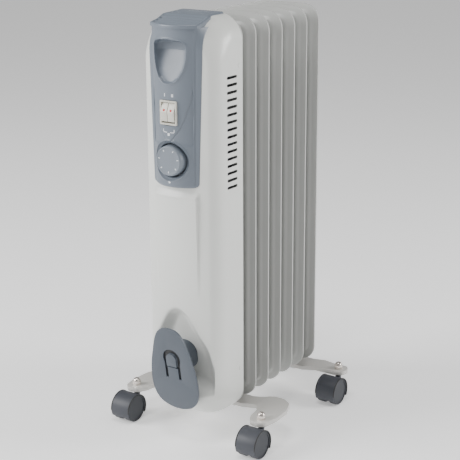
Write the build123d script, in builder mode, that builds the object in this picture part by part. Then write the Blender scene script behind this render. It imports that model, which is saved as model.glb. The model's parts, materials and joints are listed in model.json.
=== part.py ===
from build123d import *
from math import sqrt, sin, cos, radians, tan
import os

# Oil filled radiator heater on four twin-wheel casters, in millimetres.
# +Z is up, the control panel faces -Y, the fins follow one another towards +Y.
# The origin is on the floor, under the middle of the heater.

# ---- Driving dimensions ------------------------------------------------------
FIN_COUNT = 7
FIN_PITCH = 35.0
FIN_WIDTH = 126.8
FIN_HEIGHT = 580.0
FIN_CORNER_R = 26.0
FIN_FOOT_Z = 47.6          # height of the fins' lower edge above the floor
FIN_FIRST_Y = -60.0        # mid plane of the fin next to the casing
FIN_SHEET = 0.6            # one pressed sheet; a fin is two of them
CHANNEL_WALL = 0.8
FIN_SWELL = 6.0            # how far the oil channels stand out of the mid plane
HEADER_INSET = 62.0        # header centre, in from the fin's upper and lower edge
HEADER_BORE_R = 20.0
HEADER_TUBE_R = 23.0

CASING_HALF_W = 65.0
CASING_LOW_Z = FIN_FOOT_Z - 5.5
CASING_HIGH_Z = FIN_FOOT_Z + 586.5
CASING_BACK_Y = -62.3
CASING_FRONT_Y = -137.0
CASING_CORNER_R = 37.5     # seen from the front
CASING_SHOULDER_R = 42.0   # roll from the front to the top and to the bottom
CASING_SIDE_R = 15.0       # roll from the front to the sides
CASING_BULGE_R = 143.0     # plan radius of the front
CASING_SHEET = 1.0

PANEL_LOW_Z = FIN_FOOT_Z + 350.0
PANEL_HIGH_Z = FIN_FOOT_Z + 573.0
PANEL_FRONT_Y = -149.2
PANEL_WALL = 2.5
SWITCH_Z = FIN_FOOT_Z + 456.0
DIAL_Z = FIN_FOOT_Z + 388.0
DIAL_R = 21.5

PLATE_TILT = 9.3           # the cord plate leans forward, degrees
PLATE_PIVOT = (0.0, -155.5, FIN_FOOT_Z + 107.5)
PLATE_THICK = 3.0

NUT_X = 115.8              # caster centres
NUT_FRONT_Y = -91.0
NUT_REAR_Y = 138.0
FOOT_TOP_Z = FIN_FOOT_Z + 3.0
FOOT_SHEET = 1.6
FOOT_FLANGE = 6.5
FOOT_CORNER_R = 9.0
FOOT_SAG = 4.6             # the feet dip this much under the fins

WHEEL_R = 21.0
WHEEL_W = 11.3
CASTER_TRAIL = 22.0        # swivel axis to axle
HOOD_R = 22.5
HOOD_HALF_W = 16.5
AXLE_R = 2.5
STEM_R = 3.0

FIN_CENTRE_Z = FIN_FOOT_Z + FIN_HEIGHT / 2
FIN_LAST_Y = FIN_FIRST_Y + FIN_PITCH * (FIN_COUNT - 1)
LOWER_HEADER_Z = FIN_FOOT_Z + HEADER_INSET
UPPER_HEADER_Z = FIN_FOOT_Z + FIN_HEIGHT - HEADER_INSET
CASING_CENTRE_Z = (CASING_LOW_Z + CASING_HIGH_Z) / 2
SHIELD_Y = -76.0

os.makedirs("parts", exist_ok=True)


def facing(y, z=0.0, x=0.0):
    """A plane seen from the front: X to the right, Z up, normal to the front."""
    return Plane(origin=(x, y, z), x_dir=(1, 0, 0), z_dir=(0, -1, 0))


def side_on(x, y=0.0, z=0.0):
    """A plane seen from the right: +Y to the right, Z up, normal along +X."""
    return Plane(origin=(x, y, z), x_dir=(0, 1, 0), z_dir=(1, 0, 0))


def save(piece, name):
    piece.part.label = name
    export_step(piece.part, f"parts/{name}.step")


# ---- Fins ----------------------------------------------------------------------
def wet_area(inset):
    """Outline of the oil space of one fin: two headers joined by three channels."""
    header_offset = FIN_HEIGHT / 2 - HEADER_INSET
    with Locations((0, header_offset), (0, -header_offset)):
        Circle(34 - inset)
    with GridLocations(30, 1, 3, 1):
        RectangleRounded(20 - 2 * inset, 2 * header_offset - 2 * inset, 9 - inset)


with BuildPart() as fin_pressing:
    # two flat sheets back to back
    with BuildSketch(facing(FIN_SHEET, FIN_CENTRE_Z)):
        RectangleRounded(FIN_WIDTH, FIN_HEIGHT, FIN_CORNER_R)
    extrude(amount=2 * FIN_SHEET)
    # rolled rim
    with BuildSketch(facing(1.2, FIN_CENTRE_Z)):
        RectangleRounded(FIN_WIDTH, FIN_HEIGHT, FIN_CORNER_R)
        RectangleRounded(FIN_WIDTH - 5, FIN_HEIGHT - 5, FIN_CORNER_R - 2.5, mode=Mode.SUBTRACT)
    extrude(amount=2.4)
    # pressed bead that follows the outline
    with BuildSketch(facing(2.8, FIN_CENTRE_Z)):
        RectangleRounded(FIN_WIDTH - 26, FIN_HEIGHT - 26, FIN_CORNER_R - 8)
        RectangleRounded(FIN_WIDTH - 35, FIN_HEIGHT - 35, FIN_CORNER_R - 11, mode=Mode.SUBTRACT)
    extrude(amount=5.6)
    # oil channels, swollen to both sides, hollow inside
    with BuildSketch(facing(FIN_SWELL, FIN_CENTRE_Z)):
        wet_area(0)
    extrude(amount=2 * FIN_SWELL)
    with BuildSketch(facing(FIN_SWELL - CHANNEL_WALL, FIN_CENTRE_Z)):
        wet_area(CHANNEL_WALL)
    extrude(amount=2 * (FIN_SWELL - CHANNEL_WALL), mode=Mode.SUBTRACT)
    # the bores that the headers open into
    with BuildSketch(facing(FIN_SWELL + 1, FIN_CENTRE_Z)):
        with Locations((0, FIN_HEIGHT / 2 - HEADER_INSET), (0, HEADER_INSET - FIN_HEIGHT / 2)):
            Circle(HEADER_BORE_R)
    extrude(amount=2 * FIN_SWELL + 2, mode=Mode.SUBTRACT)

for number in range(FIN_COUNT):
    with BuildPart() as fin:
        add(fin_pressing.part.moved(Location((0, FIN_FIRST_Y + number * FIN_PITCH, 0))))
    save(fin, f"fin_{number + 1}")


for header, header_z in (("lower", LOWER_HEADER_Z), ("upper", UPPER_HEADER_Z)):
    # the short tubes that join neighbouring fins at one header
    with BuildPart() as collars:
        for gap in range(FIN_COUNT - 1):
            with BuildSketch(facing(FIN_FIRST_Y + (gap + 1) * FIN_PITCH - FIN_SWELL, header_z)):
                Circle(HEADER_TUBE_R)
                Circle(HEADER_BORE_R, mode=Mode.SUBTRACT)
            extrude(amount=FIN_PITCH - 2 * FIN_SWELL)
    save(collars, f"{header}_header_collars")

CAP_THICK = 2.0
with BuildPart() as header_end_caps:
    for cap_z in (LOWER_HEADER_Z, UPPER_HEADER_Z):
        with BuildSketch(facing(FIN_LAST_Y + FIN_SWELL + CAP_THICK, cap_z)):
            Circle(28)
        extrude(amount=CAP_THICK)
    with BuildSketch(facing(FIN_FIRST_Y - FIN_SWELL, UPPER_HEADER_Z)):
        Circle(28)
        Circle(7, mode=Mode.SUBTRACT)
    extrude(amount=CAP_THICK)
save(header_end_caps, "header_end_caps")

PLUG_SEAT_Y = FIN_FIRST_Y - FIN_SWELL - CAP_THICK
with BuildPart() as oil_fill_plug:
    with BuildSketch(facing(PLUG_SEAT_Y, UPPER_HEADER_Z)):
        RegularPolygon(9.5, 6)
    extrude(amount=5)
    with BuildSketch(facing(PLUG_SEAT_Y, UPPER_HEADER_Z)):
        Circle(7)
    extrude(amount=-8)
save(oil_fill_plug, "oil_fill_plug")

# ---- Heating element ---------------------------------------------------------------
SEAT_Y = FIN_FIRST_Y - FIN_SWELL
GASKET = 1.5
FLANGE = 4.0
with BuildPart() as element_gasket:
    with BuildSketch(facing(SEAT_Y, LOWER_HEADER_Z)):
        Circle(26)
        Circle(18, mode=Mode.SUBTRACT)
    extrude(amount=GASKET)
save(element_gasket, "element_gasket")

with BuildPart() as heating_element:
    with BuildSketch(facing(SEAT_Y - GASKET, LOWER_HEADER_Z)):
        Circle(26)
    extrude(amount=FLANGE)
    # two hairpin tubes that lie in the oil of the lower header
    for hairpin_x in (-8.0, 8.0):
        hairpin_start = SEAT_Y - GASKET - FLANGE / 2
        hairpin_end = FIN_LAST_Y - 20
        with BuildLine() as hairpin_path:
            Line((hairpin_x, hairpin_start, LOWER_HEADER_Z - 9), (hairpin_x, hairpin_end, LOWER_HEADER_Z - 9))
            ThreePointArc((hairpin_x, hairpin_end, LOWER_HEADER_Z - 9),
                          (hairpin_x, hairpin_end + 9, LOWER_HEADER_Z),
                          (hairpin_x, hairpin_end, LOWER_HEADER_Z + 9))
            Line((hairpin_x, hairpin_end, LOWER_HEADER_Z + 9), (hairpin_x, hairpin_start, LOWER_HEADER_Z + 9))
        with BuildSketch(Plane(origin=hairpin_path.line @ 0, z_dir=hairpin_path.line % 0)):
            Circle(4)
        sweep(path=hairpin_path.line)
    # terminal pins
    with BuildSketch(facing(SEAT_Y - GASKET - FLANGE, LOWER_HEADER_Z)):
        with GridLocations(16, 18, 2, 2):
            Circle(1.8)
    extrude(amount=16)
save(heating_element, "heating_element")

with BuildPart() as heat_shield:
    with BuildSketch(facing(SHIELD_Y, CASING_CENTRE_Z)):
        RectangleRounded(118, 560, 24)
        with Locations((0, LOWER_HEADER_Z - CASING_CENTRE_Z)):
            Circle(20, mode=Mode.SUBTRACT)
    extrude(amount=1)
save(heat_shield, "heat_shield")

STANDOFF_X = 42.2
STANDOFF_Z = 200.0
with BuildPart() as shield_standoffs:
    with BuildSketch(facing(FIN_FIRST_Y - FIN_SHEET, FIN_CENTRE_Z)):
        with GridLocations(2 * STANDOFF_X, 2 * STANDOFF_Z, 2, 2):
            Circle(2)
    extrude(amount=FIN_FIRST_Y - FIN_SHEET - SHIELD_Y)
save(shield_standoffs, "shield_standoffs")

with BuildPart() as thermal_cutout:
    with BuildSketch(facing(SHIELD_Y - 1, LOWER_HEADER_Z + 52)):
        Circle(8)
    extrude(amount=7)
    with BuildSketch(facing(SHIELD_Y - 8, LOWER_HEADER_Z + 52)):
        with GridLocations(8, 1, 2, 1):
            Rectangle(0.8, 6)
    extrude(amount=6)
save(thermal_cutout, "thermal_cutout")

with BuildPart() as terminal_block:
    with BuildSketch(facing(SHIELD_Y - 1, LOWER_HEADER_Z + 90)):
        Rectangle(36, 16)
    extrude(amount=12)
    with BuildSketch(facing(SHIELD_Y - 13, LOWER_HEADER_Z + 90)):
        with GridLocations(12, 8, 3, 2):
            Circle(2.4)
    extrude(amount=-5, mode=Mode.SUBTRACT)
save(terminal_block, "terminal_block")


# ---- Casing ------------------------------------------------------------------------
def casing_body(inset):
    """Closed body of the casing, shrunk by inset on the front and all round."""
    front = CASING_FRONT_Y + inset
    half_w = CASING_HALF_W - inset
    low = CASING_LOW_Z + inset
    high = CASING_HIGH_Z - inset
    depth = CASING_BACK_Y - front
    # seen from the front: a rounded rectangle
    with BuildPart() as front_view:
        with BuildSketch(facing(CASING_BACK_Y, CASING_CENTRE_Z)):
            RectangleRounded(2 * half_w, high - low, CASING_CORNER_R - inset)
        extrude(amount=depth)
    # seen from above: a bulged front that rolls into flat sides
    bulge_r = CASING_BULGE_R - inset
    side_r = CASING_SIDE_R - inset
    bulge_y = front + bulge_r
    roll_x = half_w - side_r
    roll_y = bulge_y - sqrt((bulge_r - side_r) ** 2 - roll_x ** 2)
    reach = bulge_r / (bulge_r - side_r)
    meet = (roll_x * reach, bulge_y + (roll_y - bulge_y) * reach)
    with BuildPart() as top_view:
        with BuildSketch(Plane.XY.offset(low - 1)):
            with BuildLine() as plan:
                Line((-half_w, CASING_BACK_Y), (half_w, CASING_BACK_Y))
                right_side = Line((half_w, CASING_BACK_Y), (half_w, roll_y))
                TangentArc(right_side @ 1, meet, tangent=(0, -1))
                ThreePointArc(meet, (0, front), (-meet[0], meet[1]))
                TangentArc((-half_w, roll_y), (-meet[0], meet[1]), tangent=(0, -1))
                Line((-half_w, roll_y), (-half_w, CASING_BACK_Y))
            make_face(plan.edges())
        extrude(amount=high - low + 2)
    # seen from the side: the front rolls into the top and the bottom
    shoulder_r = CASING_SHOULDER_R - inset
    with BuildPart() as side_view:
        with BuildSketch(side_on(-half_w - 1)):
            with BuildLine() as flank:
                Line((CASING_BACK_Y, low), (front + shoulder_r, low))
                TangentArc((front + shoulder_r, low), (front, low + shoulder_r), tangent=(-1, 0))
                Line((front, low + shoulder_r), (front, high - shoulder_r))
                TangentArc((front, high - shoulder_r), (front + shoulder_r, high), tangent=(0, 1))
                Line((front + shoulder_r, high), (CASING_BACK_Y, high))
                Line((CASING_BACK_Y, high), (CASING_BACK_Y, low))
            make_face(flank.edges())
        extrude(amount=2 * half_w + 2)
    return front_view.part & top_view.part & side_view.part


# Arched hollow for the wound cord: its floor slopes back towards the bottom.
RECESS_TOP_Z = FIN_FOOT_Z + 167.0
RECESS_LOW_Z = FIN_FOOT_Z + 34.0
RECESS_FLOOR_TOP_Y = -128.0
RECESS_FLOOR_LOW_Y = RECESS_FLOOR_TOP_Y + (RECESS_TOP_Z - RECESS_LOW_Z) * tan(radians(PLATE_TILT))


def recess_outline(grow):
    """Bell outline of the cord recess on the casing's front."""
    low = RECESS_LOW_Z - grow
    top = RECESS_TOP_Z + grow
    half = 59.0 + grow
    with BuildLine() as bell:
        Line((-half + 14, low), (half - 14, low))
        ThreePointArc((half - 14, low), (half - 4.1, low + 4.1), (half, low + 14))
        Spline((half, low + 14), (half - 4, low + 48), (half - 23, low + 98), (14 + grow / 2, top - 6),
               (0, top), (-14 - grow / 2, top - 6), (-half + 23, low + 98), (-half + 4, low + 48),
               (-half, low + 14), tangents=((0, 1), (0, -1)))
        ThreePointArc((-half, low + 14), (-half + 4.1, low + 4.1), (-half + 14, low))
    make_face(bell.edges())


def recess_volume(grow):
    """The space in front of the recess floor; grow makes room for the sheet."""
    front_y = CASING_FRONT_Y - 40
    with BuildPart() as outline_prism:
        with BuildSketch(facing(front_y)):
            recess_outline(grow)
        extrude(amount=-90)
    with BuildPart() as wedge:
        with BuildSketch(side_on(-70)):
            with BuildLine():
                slope = (RECESS_FLOOR_LOW_Y - RECESS_FLOOR_TOP_Y) / (RECESS_TOP_Z - RECESS_LOW_Z)
                deep = RECESS_FLOOR_LOW_Y + grow
                shallow = RECESS_FLOOR_TOP_Y + grow - 12 * slope
                Polyline((front_y, RECESS_LOW_Z - 12), (deep, RECESS_LOW_Z - 12), (deep, RECESS_LOW_Z),
                         (shallow, RECESS_TOP_Z + 12), (front_y, RECESS_TOP_Z + 12), close=True)
            make_face()
        extrude(amount=140)
    return outline_prism.part & wedge.part


def handle_profile(grow):
    """Side outline of the top cover, from the rear tab to the front lip."""
    top = FIN_FOOT_Z + grow
    under = FIN_FOOT_Z - grow
    back_y = -65.5 + grow
    front_y = -151.0 - grow
    with BuildLine() as profile:
        Polyline((back_y, top + 588.5), (-100, top + 587.0), (-130, top + 581), (front_y, top + 577.0),
                 (front_y, under + 573.0), (-112, under + 573.0), (-92, under + 582), (back_y, under + 582.0),
                 close=True)
    make_face(profile.edges())


def handle_plan(grow, lip_half=40.0):
    """Plan outline of the top cover."""
    tab = 36.0 + grow
    lip = lip_half + grow
    with BuildLine() as plan:
        Line((-tab, -60), (tab, -60))
        Line((tab, -60), (tab, -98))
        Line((tab, -98), (lip, -106))
        Line((lip, -106), (lip, -134))
        ThreePointArc((lip, -134), (0, -150.2 - grow), (-lip, -134))
        Line((-lip, -134), (-lip, -106))
        Line((-lip, -106), (-tab, -98))
        Line((-tab, -98), (-tab, -60))
    make_face(plan.edges())


def handle_body(grow):
    with BuildPart() as profile_bar:
        with BuildSketch(side_on(-60)):
            handle_profile(grow)
        extrude(amount=120)
    with BuildPart() as plan_prism:
        with BuildSketch(Plane.XY.offset(FIN_FOOT_Z + 560)):
            handle_plan(grow)
        extrude(amount=40)
    return profile_bar.part & plan_prism.part


# Places on the sloping recess floor.
def on_floor(x, z, lift=0.0):
    """A plane on the recess floor at x and height z, facing out of the recess."""
    y = RECESS_FLOOR_TOP_Y + (RECESS_TOP_Z - z) * tan(radians(PLATE_TILT))
    out = Vector(0, -cos(radians(PLATE_TILT)), -sin(radians(PLATE_TILT)))
    return Plane(origin=Vector(x, y, z) + out * lift, x_dir=(1, 0, 0), z_dir=out)


PLATE_PLANE = Plane(origin=PLATE_PIVOT, x_dir=(1, 0, 0),
                    z_dir=(0, -cos(radians(PLATE_TILT)), -sin(radians(PLATE_TILT))))
GLAND_BODY_R = 8.0
GLAND_BORE_R = 3.75
GLAND_PLANE = Plane(origin=(-CASING_HALF_W, -92.0, FIN_FOOT_Z + 60.0), x_dir=(0, 1, 0), z_dir=(-1, 0, 0))
HUB_SCREW_R = 2.0
HUB_DROP = -24.0           # hub centre below the plate's pivot, along the plate
# the hub stands square on the sloping floor, so its foot is higher than its front
HUB_CENTRE = PLATE_PLANE.from_local_coords((0, HUB_DROP, 0))
FLOOR_LEVEL = (RECESS_FLOOR_TOP_Y, RECESS_TOP_Z)
hub_gap = ((FLOOR_LEVEL[0] - HUB_CENTRE.Y) * cos(radians(PLATE_TILT))
           + (FLOOR_LEVEL[1] - HUB_CENTRE.Z) * sin(radians(PLATE_TILT)))
HUB_SCREW_Z = HUB_CENTRE.Z + hub_gap * sin(radians(PLATE_TILT))
HUB_SCREW_PITCH = 26.0
HUB_SCREW_PLANE = on_floor(0.0, HUB_SCREW_Z)

SIDE_SCREW_R = 1.9
SIDE_SCREW_Y = CASING_BACK_Y - 7
SIDE_SCREW_SPAN = CASING_HIGH_Z - CASING_LOW_Z - 140
PANEL_LAP = 5.0            # the panel overlaps the edge of its opening
VENT_COUNT = 16
VENT_PITCH = 10.4
VENT_TOP_Z = FIN_FOOT_Z + 502.5
VENT_MIDDLE_Y = -87.8
casing_outer = casing_body(0)
casing_inner = casing_body(CASING_SHEET)
with BuildPart() as casing:
    add(casing_outer)
    add(casing_inner, mode=Mode.SUBTRACT)
    # pressed cord recess
    add(casing_outer & recess_volume(CASING_SHEET))
    add(recess_volume(0), mode=Mode.SUBTRACT)
    # raised pad under the panel, fading out downwards
    with BuildSketch(side_on(-38)):
        with BuildLine():
            Polyline((CASING_FRONT_Y - 2.6, FIN_FOOT_Z + 333), (CASING_FRONT_Y + 5.5, FIN_FOOT_Z + 346),
                     (CASING_FRONT_Y + 8, FIN_FOOT_Z + 300), (CASING_FRONT_Y + 6, FIN_FOOT_Z + 186),
                     (CASING_FRONT_Y + 0.2, FIN_FOOT_Z + 186), close=True)
        make_face()
    pad = extrude(amount=76, mode=Mode.PRIVATE)
    pad_skin = pad & Pos(0, -2.6, 0) * casing_outer
    add(pad_skin - casing_inner)
    # opening behind the panel
    with BuildSketch(facing(CASING_FRONT_Y - 5)):
        with Locations((0, (PANEL_LOW_Z + PANEL_LAP + PANEL_HIGH_Z) / 2)):
            Rectangle(62, PANEL_HIGH_Z - PANEL_LOW_Z - PANEL_LAP)
    extrude(amount=-30, mode=Mode.SUBTRACT)
    # seat of the top cover
    add(handle_body(0.25), mode=Mode.SUBTRACT)
    # vent slots through both sides
    with BuildSketch(side_on(-80, VENT_MIDDLE_Y, VENT_TOP_Z - VENT_PITCH * (VENT_COUNT - 1) / 2)):
        with GridLocations(1, VENT_PITCH, 1, VENT_COUNT):
            SlotOverall(25, 4.2)
    extrude(amount=160, mode=Mode.SUBTRACT)
    # hole for the cord gland, low in the left side
    with BuildSketch(GLAND_PLANE):
        Circle(GLAND_BODY_R)
    extrude(amount=6, both=True, mode=Mode.SUBTRACT)
    # holes for the four side screws
    with BuildSketch(side_on(-80, SIDE_SCREW_Y, CASING_CENTRE_Z)):
        with GridLocations(1, SIDE_SCREW_SPAN, 1, 2):
            Circle(SIDE_SCREW_R)
    extrude(amount=160, mode=Mode.SUBTRACT)
    # holes for the two hub screws
    with BuildSketch(HUB_SCREW_PLANE):
        with GridLocations(HUB_SCREW_PITCH, 1, 2, 1):
            Circle(HUB_SCREW_R)
    extrude(amount=6, both=True, mode=Mode.SUBTRACT)
save(casing, "casing")

with BuildPart() as casing_screws:
    # pan-head screws through the casing's rear edge
    for side in (-1, 1):
        with BuildSketch(side_on(side * CASING_HALF_W, SIDE_SCREW_Y, CASING_CENTRE_Z)):
            with GridLocations(1, SIDE_SCREW_SPAN, 1, 2):
                Circle(3.6)
        extrude(amount=side * 1.8)
        with BuildSketch(side_on(side * CASING_HALF_W, SIDE_SCREW_Y, CASING_CENTRE_Z)):
            with GridLocations(1, SIDE_SCREW_SPAN, 1, 2):
                Circle(SIDE_SCREW_R)
        extrude(amount=-side * 6)
save(casing_screws, "casing_screws")


# ---- Control panel -------------------------------------------------------------------
def panel_body(inset):
    """The panel's outer form, wider at the top, shrunk by inset."""
    levels = ((PANEL_LOW_Z + inset, 38.6, 34.0), (PANEL_HIGH_Z + (1 if inset else 0), 46.0, 35.5))
    with BuildPart() as body:
        for z, outer, crease in levels:
            with BuildSketch(Plane.XY.offset(z)):
                with BuildLine() as plan:
                    half = outer - inset * 1.3
                    edge = crease - inset * 0.8
                    Line((-half, -120), (half, -120))
                    Line((half, -120), (half, -129.5))
                    Line((half, -129.5), (edge, -135.2 + inset))
                    ThreePointArc((edge, -135.2 + inset), (0, PANEL_FRONT_Y + inset), (-edge, -135.2 + inset))
                    Line((-edge, -135.2 + inset), (-half, -129.5))
                    Line((-half, -129.5), (-half, -120))
                make_face(plan.edges())
        loft()
    return body.part


SCOOP_TOP_Z = FIN_FOOT_Z + 558.5
SCOOP_TIP_Z = FIN_FOOT_Z + 498.5
SCOOP_HALF_W = 26.5
SCOOP_DEEP_Y = -127.0


def scoop_volume(grow):
    """The finger scoop: deep under the handle, running out towards its lower tip."""
    front_y = PANEL_FRONT_Y - 4
    with BuildPart() as prism:
        with BuildSketch(facing(front_y)):
            half = SCOOP_HALF_W + grow
            top = SCOOP_TOP_Z + grow
            tip = SCOOP_TIP_Z - grow
            with BuildLine() as shield_outline:
                Line((-half + 9, top), (half - 9, top))
                ThreePointArc((half - 9, top), (half - 2.6, top - 2.6), (half, top - 9))
                Spline((half, top - 9), (half - 6.5, top - 37), (0, tip), (-half + 6.5, top - 37),
                       (-half, top - 9), tangents=((0, -1), (0, 1)))
                ThreePointArc((-half, top - 9), (-half + 2.6, top - 2.6), (-half + 9, top))
            make_face(shield_outline.edges())
        extrude(amount=-40)
    with BuildPart() as wedge:
        with BuildSketch(side_on(-35)):
            with BuildLine() as depth_line:
                Polyline((front_y, SCOOP_TIP_Z - 5), (PANEL_FRONT_Y + 3 + grow, SCOOP_TIP_Z - 5),
                         (SCOOP_DEEP_Y + grow, SCOOP_TOP_Z - 28), (SCOOP_DEEP_Y + grow, SCOOP_TOP_Z + 5),
                         (front_y, SCOOP_TOP_Z + 5), close=True)
            make_face(depth_line.edges())
        extrude(amount=70)
    return prism.part & wedge.part


DISH_FLOOR_Y = -136.0


def dish_volume(grow):
    """The dished seat of the dial."""
    depth = DISH_FLOOR_Y + grow - (PANEL_FRONT_Y - 1)
    with BuildPart() as dish:
        with BuildSketch(facing(DISH_FLOOR_Y + grow, DIAL_Z)):
            Circle(24 + grow)
        with BuildSketch(facing(PANEL_FRONT_Y - 1, DIAL_Z)):
            Circle(24 + grow + depth * 0.38)
        loft()
    return dish.part


BEZEL_W = 28.0
BEZEL_H = 34.0
BEZEL_BACK_Y = -146.6
with BuildPart() as control_panel:
    add(panel_body(0))
    add(panel_body(PANEL_WALL), mode=Mode.SUBTRACT)
    add(casing_outer, mode=Mode.SUBTRACT)
    add(panel_body(0) & scoop_volume(PANEL_WALL))
    add(scoop_volume(0), mode=Mode.SUBTRACT)
    add(panel_body(0) & dish_volume(PANEL_WALL))
    add(dish_volume(0), mode=Mode.SUBTRACT)
    # hole for the dial's spindle
    with BuildSketch(facing(-150, DIAL_Z)):
        Circle(4)
    extrude(amount=-30, mode=Mode.SUBTRACT)
    # window and flat seat of the switch
    with BuildSketch(facing(-155, SWITCH_Z)):
        Rectangle(BEZEL_W + 0.4, BEZEL_H + 0.4)
    extrude(amount=BEZEL_BACK_Y + 155, mode=Mode.SUBTRACT, dir=(0, 1, 0))
    with BuildSketch(facing(-155, SWITCH_Z)):
        Rectangle(26.4, 32.4)
    extrude(amount=20, mode=Mode.SUBTRACT, dir=(0, 1, 0))
save(control_panel, "control_panel")

TRAY_FLOOR_Z = FIN_FOOT_Z + 576.5
with BuildPart() as top_handle:
    add(handle_body(0))
    # ribbed tray in the top face
    with BuildSketch(Plane.XY.offset(TRAY_FLOOR_Z)):
        with BuildLine() as tray:
            Line((-34, -104), (34, -104))
            Line((34, -104), (34, -132))
            ThreePointArc((34, -132), (0, -146), (-34, -132))
            Line((-34, -132), (-34, -104))
        make_face(tray.edges())
    extrude(amount=16, mode=Mode.SUBTRACT)
    # raised rear tab
    with BuildSketch(Plane.XY.offset(FIN_FOOT_Z + 586)):
        with Locations((0, -82)):
            Rectangle(66, 32)
    extrude(amount=2.6)
save(top_handle, "top_handle")

with BuildPart() as panel_screws:
    # screws that clamp the panel to the casing from inside
    for screw_z in (PANEL_LOW_Z + 8, PANEL_HIGH_Z - 20):
        with BuildSketch(facing(-127.0, screw_z)):
            with GridLocations(2 * 36.2, 1, 2, 1):
                Circle(3.2)
        extrude(amount=2)
save(panel_screws, "panel_screws")

# ---- Switch ---------------------------------------------------------------------------
ROCKER_AXIS_Y = -143.5
ROCKER_PIN_R = 1.2
ROCKER_W = 10.6
ROCKER_X = 5.8
ROCKER_TILT = 8.0
with BuildPart() as switch_housing:
    with BuildSketch(facing(BEZEL_BACK_Y, SWITCH_Z)):
        RectangleRounded(BEZEL_W, BEZEL_H, 1.5)
    extrude(amount=3.2)
    with BuildSketch(facing(BEZEL_BACK_Y, SWITCH_Z)):
        Rectangle(26, 32)
    extrude(amount=-20)
    with BuildSketch(facing(BEZEL_BACK_Y - 3.2, SWITCH_Z)):
        Rectangle(23.6, 29.2)
    extrude(amount=-20, mode=Mode.SUBTRACT)
    with BuildSketch(side_on(-13, ROCKER_AXIS_Y, SWITCH_Z)):
        Circle(ROCKER_PIN_R)
    extrude(amount=26, mode=Mode.SUBTRACT)
    # spade terminals
    with BuildSketch(facing(BEZEL_BACK_Y + 20, SWITCH_Z)):
        with GridLocations(11.6, 9, 2, 3):
            Rectangle(6.3, 0.8)
    extrude(amount=-9)
save(switch_housing, "switch_housing")

with BuildPart() as rocker_pin:
    with BuildSketch(side_on(-13, ROCKER_AXIS_Y, SWITCH_Z)):
        Circle(ROCKER_PIN_R)
    extrude(amount=26)
save(rocker_pin, "rocker_pin")

for side_name, side in (("left", -1), ("right", 1)):
    with BuildPart() as rocker:
        with BuildSketch(side_on(side * ROCKER_X - ROCKER_W / 2, ROCKER_AXIS_Y, SWITCH_Z)):
            with BuildLine() as rocker_side:
                Line((-9.0, 0), (-5.4, 13.0))
                Line((-5.4, 13.0), (2.5, 12.0))
                Line((2.5, 12.0), (4.0, 3.0))
                Line((4.0, 3.0), (4.0, -3.0))
                Line((4.0, -3.0), (2.5, -12.0))
                Line((2.5, -12.0), (-5.4, -13.0))
                Line((-5.4, -13.0), (-9.0, 0))
            make_face(rocker_side.edges())
            Circle(ROCKER_PIN_R + 0.05, mode=Mode.SUBTRACT)
        extrude(amount=ROCKER_W)
        # seat of the pilot lens
        with BuildSketch(facing(ROCKER_AXIS_Y - 10, SWITCH_Z + 2.5, side * ROCKER_X)):
            Circle(1.6)
        extrude(amount=-4, mode=Mode.SUBTRACT)
    with BuildPart() as tilted_rocker:
        add(rocker.part.rotate(Axis((0, ROCKER_AXIS_Y, SWITCH_Z), (1, 0, 0)), -ROCKER_TILT))
    save(tilted_rocker, f"rocker_{side_name}")

    with BuildPart() as lens:
        with BuildSketch(facing(ROCKER_AXIS_Y - 6.0, SWITCH_Z + 2.5, side * ROCKER_X)):
            Circle(1.6)
        extrude(amount=2.8)
    with BuildPart() as tilted_lens:
        add(lens.part.rotate(Axis((0, ROCKER_AXIS_Y, SWITCH_Z), (1, 0, 0)), -ROCKER_TILT))
    save(tilted_lens, f"pilot_lens_{side_name}")

# ---- Thermostat -------------------------------------------------------------------------
THERMOSTAT_FRONT_Y = DISH_FLOOR_Y + PANEL_WALL
SPINDLE_R = 3.0
DIAL_FACE_Y = -152.0
with BuildPart() as thermostat_body:
    with BuildSketch(facing(THERMOSTAT_FRONT_Y, DIAL_Z)):
        RectangleRounded(40, 34, 3)
    extrude(amount=-20)
    with BuildSketch(facing(THERMOSTAT_FRONT_Y, DIAL_Z)):
        Circle(SPINDLE_R + 0.05)
    extrude(amount=-10, mode=Mode.SUBTRACT)
    with BuildSketch(facing(THERMOSTAT_FRONT_Y + 20, DIAL_Z)):
        with GridLocations(20, 1, 2, 1):
            Rectangle(0.8, 6.3)
    extrude(amount=-9)
save(thermostat_body, "thermostat_body")

with BuildPart() as thermostat_spindle:
    with BuildSketch(facing(THERMOSTAT_FRONT_Y + 9.5, DIAL_Z)):
        Circle(SPINDLE_R)
    extrude(amount=THERMOSTAT_FRONT_Y + 9.5 - (DIAL_FACE_Y + 4))
save(thermostat_spindle, "thermostat_spindle")

with BuildPart() as thermostat_dial:
    with BuildSketch(facing(DISH_FLOOR_Y - 0.8, DIAL_Z)):
        Circle(DIAL_R + 1)
    with BuildSketch(facing(DIAL_FACE_Y, DIAL_Z)):
        Circle(DIAL_R - 0.5)
    loft()
    fillet(edges().group_by(Axis.Y)[0], radius=1.5)
    with BuildSketch(facing(DISH_FLOOR_Y - 0.8, DIAL_Z)):
        Circle(DIAL_R - 1.5)
        Circle(6, mode=Mode.SUBTRACT)
    extrude(amount=12.5, mode=Mode.SUBTRACT)
    with BuildSketch(facing(DISH_FLOOR_Y, DIAL_Z)):
        Circle(SPINDLE_R)
    extrude(amount=DISH_FLOOR_Y - (DIAL_FACE_Y + 4), mode=Mode.SUBTRACT)
save(thermostat_dial, "thermostat_dial")

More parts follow.
